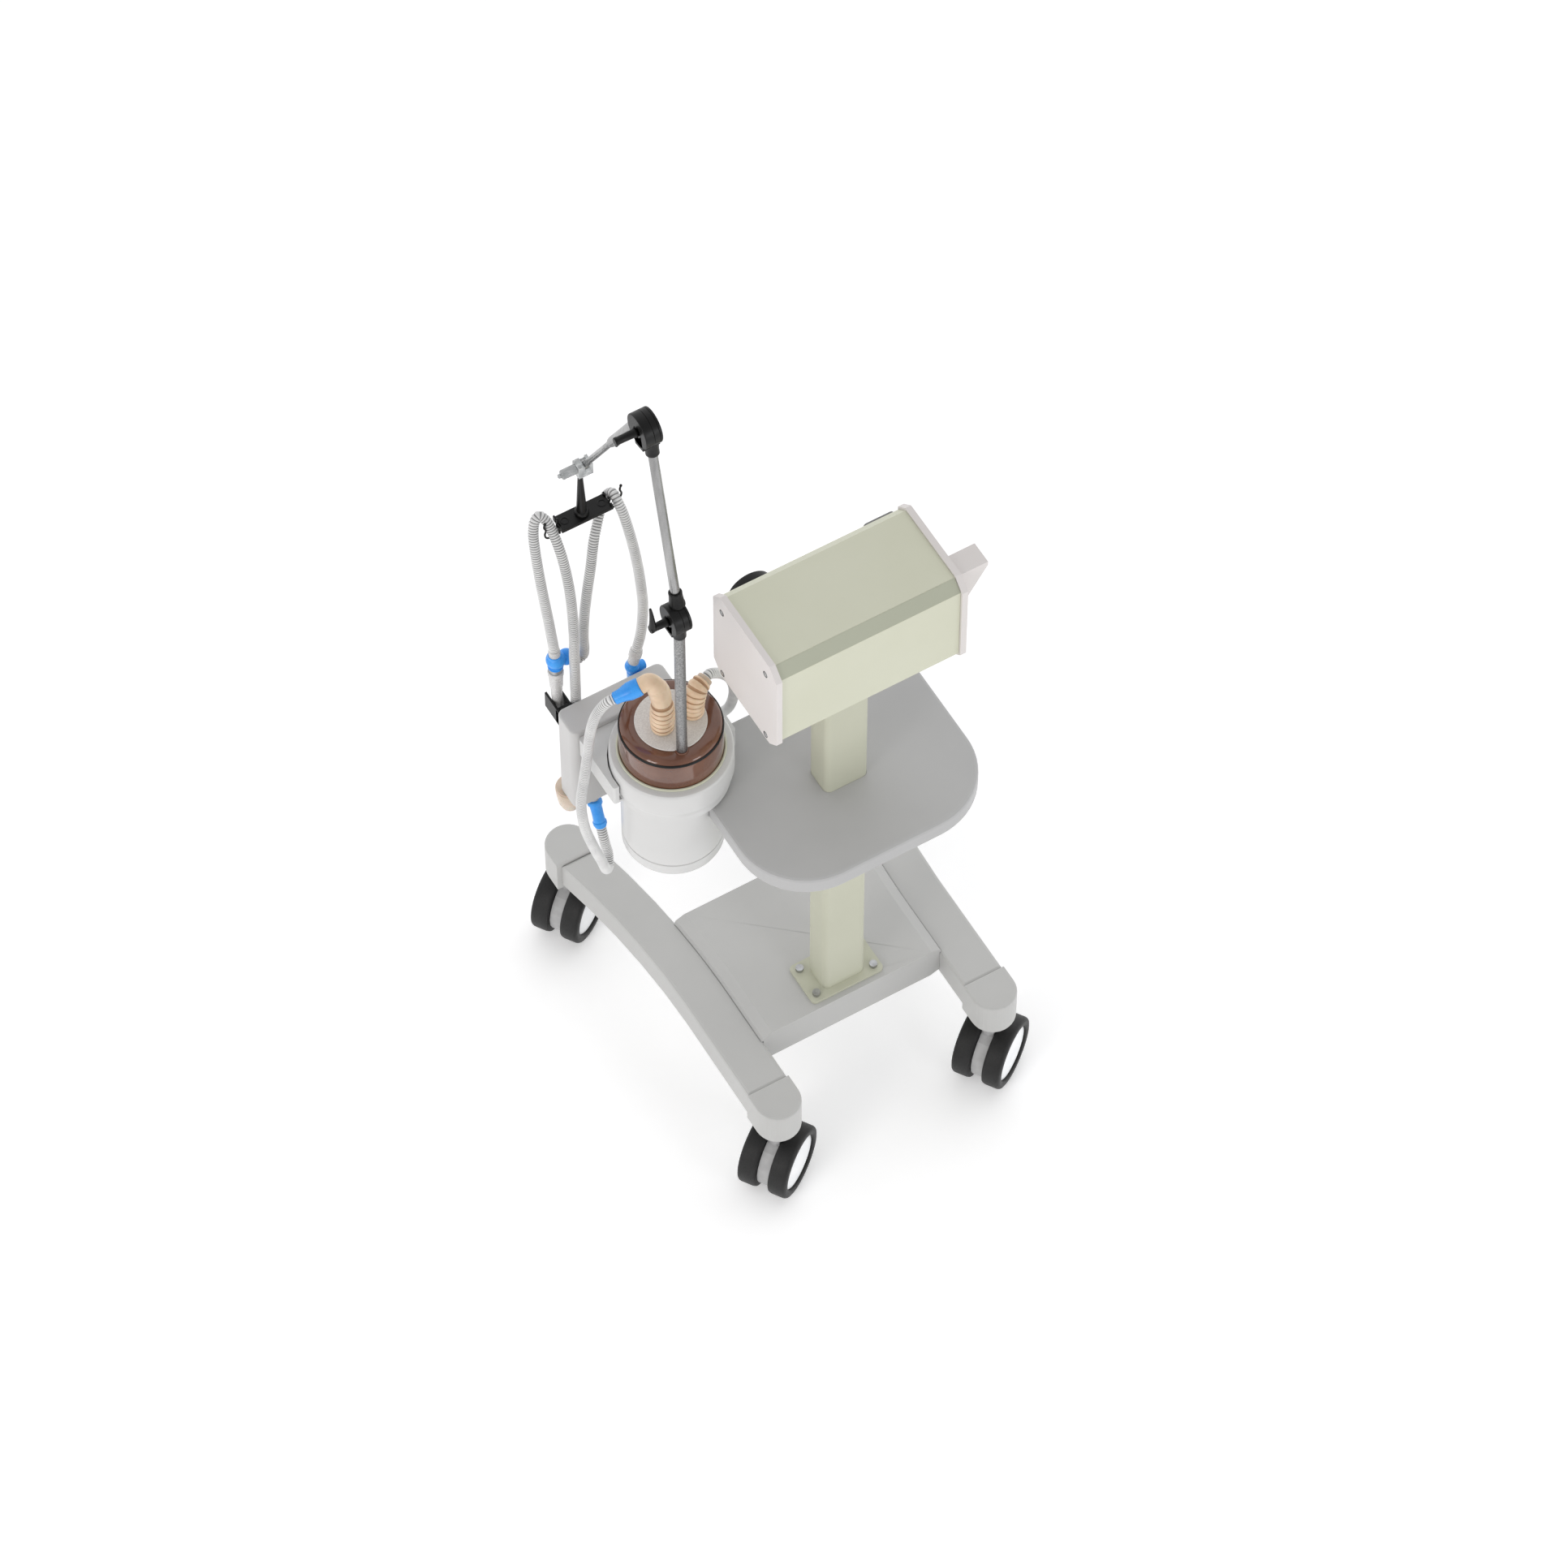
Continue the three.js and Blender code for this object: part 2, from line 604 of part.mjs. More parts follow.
/** Two soft corrugated elbows on the chamber, and the tapered connectors in their mouths. */
const ELBOW_LEFT = [
  [237, -117, 944.5],
  [237, -117, 965],
  [236, -119, 1005],
  [238.5, -126, 1036],
  [248.7, -134, 1052],
  [261.5, -137, 1047.2],
];
const ELBOW_RIGHT = [
  [184, -118, 944.5],
  [184, -118, 958],
  [180, -120.5, 977],
  [171, -125, 990],
  [159, -129.5, 993],
];

/** The direction from one point to another, one unit long. */
function direction(from, to) {
  return new THREE.Vector3(...to).sub(new THREE.Vector3(...from)).normalize();
}

/** The point a distance past the second of two points. */
function beyond(from, to, distance) {
  return direction(from, to).multiplyScalar(distance).add(new THREE.Vector3(...to)).toArray();
}

function addElbows() {
  const [footX, footY, footZ] = ELBOW_LEFT[0];
  const stack = rod([footX, footY, footZ + 1.1], ELBOW_LEFT[2], ELBOW.foot, ELBOW.waist);
  add(root, "elbow_left", join(hoseAlong(ELBOW_LEFT, ELBOW.bend, 9, 12), stack), beige());
  add(root, "elbow_right", hoseAlong(ELBOW_RIGHT, ELBOW.wide, 6, 12), beige());
}

/** The control box behind the humidifier, its cradle around the collar, and its drip cup. */
function addControlBox() {
  const { x, y } = HUMIDIFIER;
  const outer = 106;
  const back = BOX.y1 + GAP;
  const frame = upright(roundedRectangle(x - outer, x + outer, back, -112, 4), 808, 850, 3);
  const room = rod([x, y, 813], [x, y, 870], HUMIDIFIER_RADII.collar + 2.5);
  const stepRoom = rod([x, y, 790], [x, y, 814], HUMIDIFIER_RADII.step + 2.5);
  const open = block(x - 80, x + 80, y, -100, 790, 870);
  add(root, "cradle", cut(frame, room, stepRoom, open), white());

  const { x0, x1, y0, y1, z0, z1 } = BOX;
  const middle = (y0 + y1) / 2;
  const body = padded(roundedRectangle(x0, x1, y0, y1, 12), z0, z1, 3, 4);
  const outlet = rod(beyond(...JOINT_CONNECTOR, GAP), beyond(...JOINT_CONNECTOR, 38), 7);
  const sidePort = rod([x0 + 5, middle, 700], [x0 - 12, middle, 700], 7);
  const [endX, endY, endZ] = HOSE_1[HOSE_1.length - 1];
  const stub = rod([endX, y0 + 5, endZ - 14], [endX, endY - 5, endZ - 14], 5);
  const spigot = rod([endX, endY, endZ - 20], [endX, endY, endZ - GAP], 7);
  const prongs = [303.3, 325].map((left) => block(left, left + 2.7, -318, y0 + 4, 812, 846));
  const web = block(304, 326, -284, y0 + 4, 812, 846);
  const box = join(body, outlet, sidePort, stub, spigot, web, ...prongs);
  add(root, "control_box", box, grey());

  const cup = turned([[0, 0], [11, 2], [18, 16], [22, 48], [22, 56 - GAP], [0, 56 - GAP]]);
  add(root, "drip_cup", cup.translate(321, -264, z0 - 56), beige());
}

// ---------------------------------------------------------------- the support arm

/** The drum, neck and bored socket of one half of a knuckle, its tube running up the Z axis. */
function knuckleSocket(knuckle, aside, tubeRadius) {
  const start = aside > 0 ? Math.sqrt((knuckle.radius + KNUCKLE.neck) ** 2 - (aside - 10) ** 2)
    : knuckle.radius + KNUCKLE.neck;
  const end = start + knuckle.socket;
  const socket = rod([0, aside, start], [0, aside, end], KNUCKLE.socketRadius);
  const bore = rod([0, aside, start + 4], [0, aside, end + 1], tubeRadius + GAP);
  return { start, end, socket, bore };
}

/** Two discs on either side of a tongue, with the socket for the tube that carries them. */
function forkHalf(knuckle, tubeRadius) {
  const { near, far, tongue, neck, bolt } = KNUCKLE;
  const { start, socket, bore } = knuckleSocket(knuckle, 0, tubeRadius);
  const drum = rod([far, 0, 0], [near, 0, 0], knuckle.radius);
  const bridge = block(far, near, -11, 11, 0, start + neck);
  const slot = rod([-tongue - GAP, 0, 0], [tongue + GAP, 0, 0], knuckle.radius + 0.6);
  const hole = rod([far - 1, 0, 0], [near + 1, 0, 0], bolt + TURN_GAP);
  return cut(join(drum, bridge, socket), slot, bore, hole);
}

/** The disc between the fork's two, with the socket of the next tube, set aside from the axle. */
function tongueHalf(knuckle, aside, tubeRadius) {
  const { tongue, bolt } = KNUCKLE;
  const { start, socket, bore } = knuckleSocket(knuckle, aside, tubeRadius);
  const disc = rod([-tongue, 0, 0], [tongue, 0, 0], knuckle.radius);
  const neck = block(-tongue, tongue, aside - 9, aside + 9, 0, start + 2);
  const hole = rod([-tongue - 1, 0, 0], [tongue + 1, 0, 0], bolt + TURN_GAP);
  return cut(join(disc, neck, socket), bore, hole);
}

/** A knuckle's clamping bolt and its handle, which ends in a horn. */
function leverPiece(knuckle) {
  const { far, near, bolt } = KNUCKLE;
  const end = near + knuckle.handle;
  const shaft = rod([far + 1, 0, 0], [near + 4, 0, 0], bolt);
  const handle = rod([near + GAP, 0, 0], [end, 0, 0], 6.5, 5.5);
  const horn = rod([end - 5, 0, 0], [end - 4, 0, knuckle.horn], knuckle.hornRadius, 2);
  return join(shaft, handle, horn);
}

/** A piece drawn up the Z axis, tipped about X so that it points another way. */
function tipped(geometry, angle) {
  return geometry.rotateX(angle);
}

function addPoleAndKnuckles() {
  const down = Math.PI;
  const first = groupAt(root, ARM.x, ARM.y, KNUCKLE_1.z);
  const socketEnd = KNUCKLE_1.radius + KNUCKLE.neck;
  const poleTop = KNUCKLE_1.z - socketEnd - 4 - GAP;
  const lower = rod([0, 0, ARM.foot - KNUCKLE_1.z], [0, 0, poleTop - KNUCKLE_1.z], ARM.lowerRadius);
  add(first, "lower_pole", lower, steel());
  add(first, "knuckle_1_fork", tipped(forkHalf(KNUCKLE_1, ARM.lowerRadius), down), black());
  const upperTongue = tipped(tongueHalf(KNUCKLE_1, 0, ARM.upperRadius), UPPER_LEAN);
  add(first, "knuckle_1_tongue", upperTongue, black());
  add(first, "knuckle_1_lever", leverPiece(KNUCKLE_1), black());

  const reach = (KNUCKLE_2.z - KNUCKLE_1.z) / Math.cos(UPPER_LEAN);
  const from = socketEnd + 4 + GAP;
  const to = reach - KNUCKLE_2.radius - KNUCKLE.neck - 4 - GAP;
  const upper = tipped(rod([0, 0, from], [0, 0, to], ARM.upperRadius), UPPER_LEAN);
  add(first, "upper_pole", upper, steel());

  const second = groupAt(root, ARM.x, ARM.y - reach * Math.sin(UPPER_LEAN), KNUCKLE_2.z);
  const fork = tipped(forkHalf(KNUCKLE_2, ARM.upperRadius), UPPER_LEAN + down);
  add(second, "knuckle_2_fork", fork, black());
  add(second, "knuckle_2_lever", leverPiece(KNUCKLE_2), black());
  return second;
}

/** The forearm's tube and rod, with the eye at the rod's end, drawn up the Z axis and tipped over. */
function addForearm(elbow) {
  const turn = Math.PI - Math.PI / 2 + FOREARM.dip;
  const { aside, wide, length, wideRadius, rodRadius } = FOREARM;
  const tongue = tipped(tongueHalf(KNUCKLE_2, aside, wideRadius), turn);
  add(elbow, "knuckle_2_tongue", tongue, black());

  const start = knuckleSocket(KNUCKLE_2, aside, wideRadius).start + 4 + GAP;
  const tube = rod([0, 0, start], [0, 0, wide], wideRadius);
  const taper = rod([0, 0, wide - 1], [0, 0, wide + 6], wideRadius, rodRadius);
  const slim = rod([0, 0, wide], [0, 0, length - EYE.rodEnd], rodRadius);
  const flat = block(-EYE.half, EYE.half, -4.5, 4.5, length - EYE.rodEnd - 8, length);
  const eye = rod([-EYE.half, 0, length], [EYE.half, 0, length], EYE.radius);
  const hole = rod([-EYE.half - 1, 0, length], [EYE.half + 1, 0, length], EYE.screw + TURN_GAP);
  const arm = cut(join(tube, taper, slim, flat, eye), hole).translate(0, aside, 0);
  add(elbow, "forearm", tipped(arm, turn), steel());

  const tip = new THREE.Vector3(0, aside, length).applyAxisAngle(new THREE.Vector3(1, 0, 0), turn);
  return tip.add(elbow.position);
}

/** The clear clamp on the forearm's eye, with its knob, and the bar that hangs from it. */
function addHolder(tip) {
  const place = groupAt(root, ARM.x, tip.y, tip.z);
  const postX = HOLDER.x - ARM.x;
  const toPostTop = HOLDER.postTop - tip.z;
  const bottom = toPostTop + GAP;
  const body = block(-9, 15, -9.5, 9.5, bottom, 8.5);
  const eyeRoom = rod([-EYE.half - 0.5, 0, 0], [EYE.half + 0.5, 0, 0], EYE.radius + 0.8);
  const rodRoom = block(-EYE.half - 0.5, EYE.half + 0.5, -30, 30, -1, 30).rotateX(FOREARM.dip - Math.PI / 2);
  const postHole = rod([postX, 0, bottom - 1], [postX, 0, bottom + 9], 3.1 + GAP);
  const screw = rod([-8, 0, 0], [18, 0, 0], EYE.screw);
  const knob = rod([15.5, 0, 0], [39, 0, 0], 7.5, 6.5);
  const clamp = join(cut(body, eyeRoom, rodRoom, postHole), screw, rod([14, 0, 0], [17, 0, 0], 5), knob);
  add(place, "end_clamp", clamp, finish(0xa9adae, 0.15));

  const barTop = HOLDER.barTop - tip.z;
  const barBottom = barTop - HOLDER.barThick;
  const [left, right] = HOLDER.bar.map((x) => x - ARM.x);
  const bar = block(left, right, -HOLDER.width / 2, HOLDER.width / 2, barBottom, barTop);
  const spigot = rod([postX, 0, toPostTop - 2], [postX, 0, toPostTop + 8], 3.1);
  const post = rod([postX, 0, barTop - 2], [postX, 0, toPostTop], 8, 3.6);
  const boss = rod([postX, 0, barTop - 2], [postX, 0, barTop + 7], 11, 9.5);
  const clips = [holderClip(right, 1, tip.z), holderClip(left, -1, tip.z)];
  add(place, "hose_holder", join(bar, spigot, post, boss, ...clips), black());
}

/** A spring clip at one end of the bar: two prongs and the strip under the hose between them. */
function holderClip(barEnd, side, height) {
  const { room, wall, bottom, top, tall } = CLIP;
  const inner = [barEnd - side, barEnd + side * wall];
  const outer = [inner[1] + side * room, inner[1] + side * (room + wall)];
  const strip = (x0, x1, z0, z1) => block(Math.min(x0, x1), Math.max(x0, x1), -2, 2, z0 - height, z1 - height);
  const innerProng = strip(...inner, bottom, tall);
  const outerProng = strip(...outer, bottom, top);
  const under = strip(inner[0], outer[1], bottom, bottom + wall);
  return join(innerProng, outerProng, under);
}

// ---------------------------------------------------------------- hoses and their fittings

/** From the Y-piece up over the holder's left clip and down to the box's spigot. */
const HOSE_1 = [
  [317, -302, 975],
  [321, -306, 1039],
  [324.5, -320, 1130],
  [322, -338, 1190],
  [317.5, -350, 1217],
  [310, -358, 1235],
  [302, -359.5, 1240],
  [295, -353, 1234],
  [291.5, -344, 1221],
  [289, -322, 1187],
  [288, -300, 1117],
  [291.4, -284.5, 1023],
  [293.2, -283, 959],
  [293.2, -283, 919],
  [293, -284, 851],
  [293, -284, 800],
];

/** From the Y-piece's side branch up over the right clip and down to the water trap. */
const HOSE_2 = [
  [283.2, -303, 925.5],
  [275.5, -303.2, 919.7],
  [268, -303, 924],
  [266, -302, 940],
  [266.5, -302, 965],
  [264, -303, 1011],
  [256, -307, 1064],
  [243, -315, 1119],
  [229, -327, 1168],
  [215, -340, 1187],
  [203, -352, 1196],
  [192, -361, 1204],
  [184.5, -359.5, 1214],
  [181.3, -352, 1221],
  [181, -343.6, 1219],
  [179, -330, 1203],
  [176, -315, 1164],
  [170.5, -305, 1099],
  [167.5, -298, 1031],
  [167.5, -295, 982],
  [175, -290, 929],
  [184, -287.5, 897],
];

/** From the cone connector down in a long loop and up to the connector under the box. */
const HOSE_3 = [
  [301.4, -146.1, 1031.9],
  [308.7, -147.8, 1029],
  [318, -153, 1014],
  [327, -160, 984],
  [333, -166, 939],
  [338, -168, 881],
  [346, -168, 817],
  [353, -167, 763],
  [350, -165, 697],
  [333, -168, 618],
  [318, -174, 562],
  [306, -182, 518],
  [297, -192, 506],
  [291.5, -202, 522],
  [293.5, -205.5, 545],
  [295.3, -208.2, 566.5],
  [294.6, -216.5, 584.3],
];

/** From the second elbow down past the shelf to the box's side port. */
const HOSE_4 = [
  [158.6, -129.6, 993.1],
  [148, -133.6, 995.7],
  [127, -141, 975],
  [104, -151, 935],
  [86, -166, 876],
  [77, -186, 807],
  [76, -206, 755],
  [84, -228, 717],
  [106, -245.75, 700],
  [140.7, -245.75, 700],
];

const CONE_CONNECTOR = [
  [262, -137.1, 1047],
  [301, -146, 1032.1],
];
const JOINT_CONNECTOR = [
  [294.6, -216.7, 584.6],
  [293, -238, 630],
];

function addHoses() {
  const routes = { hose_1: HOSE_1, hose_2: HOSE_2, hose_3: HOSE_3, hose_4: HOSE_4 };
  const steps = { hose_1: 38, hose_2: 38, hose_3: 30, hose_4: 14 };
  for (const [name, route] of Object.entries(routes)) {
    add(root, name, hoseAlong(route, HOSE.radius, steps[name], HOSE.sides), hoseWhite());
  }
}

function addFittings() {
  const [coneFrom, coneTo] = CONE_CONNECTOR;
  add(root, "cone_connector", rod(coneFrom, coneTo, 14.3, 9.5), blue());

  const [jointFrom, jointTo] = JOINT_CONNECTOR;
  const sleeve = rod(jointFrom, jointTo, 9.5);
  const collarLow = rod(beyond(jointTo, jointFrom, -7), beyond(jointTo, jointFrom, -1), 12);
  const collarHigh = rod(beyond(jointFrom, jointTo, -10), beyond(jointFrom, jointTo, -4), 11);
  add(root, "joint_connector", join(sleeve, collarLow, collarHigh), blue());

  // The Y-piece stands on a tapered adaptor in the box's clip.
  const adaptor = rod([315.3, -302, 806], [316, -302, 916], 7.6, 10.5);
  const neck = rod([316, -302, 914], [316.2, -302, 930], 8.5);
  const run = rod([316.2, -302, 926], [316.9, -302, 974], 11.5, 10.5);
  const body = ball([315, -302, 949], 13.5);
  const lobe = ball([297, -304.5, 939], 12.5);
  const branch = rod([316, -302, 950], [283.6, -303, 925.8], 9.4);
  add(root, "y_piece", join(adaptor, neck, run, body, lobe, branch), blue());

  // The water trap hangs behind the box with its elbow on top.
  const trapElbow = rod([184.2, -287.4, 896.4], [195, -287, 852], 9);
  const tee = rod([200, -287, 853], [172, -287, 849], 8);
  const trapCup = turned([[0, 0], [9, 0], [12.5, 4], [13.5, 36], [10, 40], [0, 40]]);
  add(root, "water_trap", join(trapElbow, tee, trapCup.translate(188, -287, 808)), blue());
}

// ---------------------------------------------------------------- putting it together

addLeg("leg_left", 1);
addLeg("leg_right", -1);
addBasePlate();
addColumn();
addFlangeBolts();
addShelf();
for (const [name, spot] of Object.entries(CASTER_SPOTS)) {
  addLegCap(`leg_cap_${name}`, spot);
  addCaster(name, spot);
}

addHead();
addFrontControls();
addInternals();
addGasInlet();

addHumidifier();
addElbows();
addControlBox();

addHolder(addForearm(addPoleAndKnuckles()));
addHoses();
addFittings();

// The origin goes under the middle of the outer box, the free hoses and their fittings left out.
const LOOSE = /^(hose_\d|y_piece|cone_connector|joint_connector|water_trap)$/;
root.updateMatrixWorld(true);
const outside = new THREE.Box3();
for (const mesh of root.getObjectsByProperty("isMesh", true)) {
  if (!LOOSE.test(mesh.name)) outside.expandByObject(mesh, true);
}
const middle = outside.getCenter(new THREE.Vector3());
root.position.set(-middle.x, -middle.y, -outside.min.z);

export default root;
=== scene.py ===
# The looks of the ventilator: every piece is laid out in the millimetres of the CAD source,
# whose column stands on x = y = 0, and then moved into the frame, which is in metres.

import json
import math

import bmesh
import bpy
from mathutils import Matrix, Vector


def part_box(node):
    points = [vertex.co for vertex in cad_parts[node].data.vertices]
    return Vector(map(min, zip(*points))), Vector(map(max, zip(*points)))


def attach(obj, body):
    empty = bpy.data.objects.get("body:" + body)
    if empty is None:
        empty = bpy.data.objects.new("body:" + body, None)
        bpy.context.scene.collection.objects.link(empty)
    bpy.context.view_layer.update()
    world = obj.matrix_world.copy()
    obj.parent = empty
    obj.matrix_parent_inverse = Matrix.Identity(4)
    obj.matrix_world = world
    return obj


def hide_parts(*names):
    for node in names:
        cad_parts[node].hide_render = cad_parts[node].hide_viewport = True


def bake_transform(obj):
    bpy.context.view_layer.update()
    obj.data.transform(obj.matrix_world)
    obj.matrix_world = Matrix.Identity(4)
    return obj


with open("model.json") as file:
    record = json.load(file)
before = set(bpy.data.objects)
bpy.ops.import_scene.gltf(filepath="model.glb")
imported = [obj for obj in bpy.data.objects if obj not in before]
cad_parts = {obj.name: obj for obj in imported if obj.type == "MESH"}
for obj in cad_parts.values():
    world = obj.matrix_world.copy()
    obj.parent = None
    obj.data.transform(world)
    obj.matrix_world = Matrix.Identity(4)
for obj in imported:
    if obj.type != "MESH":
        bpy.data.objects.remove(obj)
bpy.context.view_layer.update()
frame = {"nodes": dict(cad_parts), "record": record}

# ---------------------------------------------------------------- from the source's millimetres to the frame

COLUMN_FOOT = 225.3
MM = 0.001
column_low, column_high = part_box("column")
ORIGIN = Vector(
    (
        (column_low.x + column_high.x) / 2,
        (column_low.y + column_high.y) / 2,
        column_low.z - COLUMN_FOOT * MM,
    )
)
TO_FRAME = Matrix.Translation(ORIGIN) @ Matrix.Scale(MM, 4)

# ---------------------------------------------------------------- the camera

CAMERA_SPOT = (3142.71, 5163.09, 10013.08)
CAMERA_BACK = (0.2779, 0.4709, 0.8372)  # the way from what it looks at to the camera
SENSOR, LENS = 36, 167.702

scene = bpy.context.scene
camera = bpy.data.objects.new("camera", bpy.data.cameras.new("camera"))
scene.collection.objects.link(camera)
back = Vector(CAMERA_BACK).normalized()
right = Vector((0, 0, 1)).cross(back).normalized()
turn = Matrix((right, back.cross(right), back)).transposed().to_4x4()
camera.matrix_world = Matrix.Translation(TO_FRAME @ Vector(CAMERA_SPOT)) @ turn
camera.data.sensor_width = SENSOR
camera.data.lens = LENS
camera.data.clip_end = 100
scene.camera = camera

# ---------------------------------------------------------------- materials

PATCH_EDGES = (0.36, 0.64)  # the noise below the first is the dark colour, above the second the light one
GRAIN_RANGE = (0.3, 0.7)  # the noise that gives the lower and the higher roughness


def link(tree, source, target):
    """Joins an output of a node to an input."""
    tree.links.new(source, target)


def material(
    name,
    dark,
    light,
    rough=(0.4, 0.5),
    patch=18,
    grain=900,
    bump=0.00006,
    metallic=0.0,
    stretch=(1, 1, 1),
    **sockets,
):
    """A colour that drifts in soft patches, with a fine grain in its gloss and its surface."""
    made = bpy.data.materials.new(name)
    made.use_nodes = True
    tree = made.node_tree
    shader = tree.nodes["Principled BSDF"]
    shader.inputs["Metallic"].default_value = metallic
    for socket, value in sockets.items():
        shader.inputs[socket.replace("_", " ")].default_value = value
    place = tree.nodes.new("ShaderNodeTexCoord")
    mapping = tree.nodes.new("ShaderNodeMapping")
    mapping.inputs["Scale"].default_value = stretch
    link(tree, place.outputs["Object"], mapping.inputs["Vector"])

    patches = tree.nodes.new("ShaderNodeTexNoise")
    patches.inputs["Scale"].default_value = patch
    patches.inputs["Detail"].default_value = 5
    link(tree, mapping.outputs["Vector"], patches.inputs["Vector"])
    ramp = tree.nodes.new("ShaderNodeValToRGB")
    ramp.color_ramp.elements[0].position = PATCH_EDGES[0]
    ramp.color_ramp.elements[0].color = (*dark, 1)
    ramp.color_ramp.elements[1].position = PATCH_EDGES[1]
    ramp.color_ramp.elements[1].color = (*light, 1)
    link(tree, patches.outputs["Fac"], ramp.inputs["Fac"])
    link(tree, ramp.outputs["Color"], shader.inputs["Base Color"])

    fine = tree.nodes.new("ShaderNodeTexNoise")
    fine.inputs["Scale"].default_value = grain
    fine.inputs["Detail"].default_value = 2
    link(tree, mapping.outputs["Vector"], fine.inputs["Vector"])
    span = tree.nodes.new("ShaderNodeMapRange")
    span.inputs["From Min"].default_value = GRAIN_RANGE[0]
    span.inputs["From Max"].default_value = GRAIN_RANGE[1]
    span.inputs["To Min"].default_value = rough[0]
    span.inputs["To Max"].default_value = rough[1]
    link(tree, fine.outputs["Fac"], span.inputs["Value"])
    link(tree, span.outputs["Result"], shader.inputs["Roughness"])

    relief = tree.nodes.new("ShaderNodeBump")
    relief.inputs["Strength"].default_value = 0.5
    relief.inputs["Distance"].default_value = bump
    link(tree, fine.outputs["Fac"], relief.inputs["Height"])
    link(tree, relief.outputs["Normal"], shader.inputs["Normal"])
    return made


GAMMA = 2.2


def grey(value, warmth=0.0):
    """A linear grey from its screen value, 0 to 255, a little warmer or cooler."""
    level = (value / 255) ** GAMMA
    return (level * (1 + warmth), level, level * (1 - warmth))


def tint(red, green, blue):
    """A linear colour from screen values, 0 to 255."""
    return tuple((value / 255) ** GAMMA for value in (red, green, blue))


def coat(name, dark, light, rough=(0.42, 0.56), patch=6, grain=1400, bump=0.0001):
    """A powder coat: almost one colour, with a fine orange peel."""
    return material(name, tint(*dark), tint(*light), rough, patch, grain, bump)


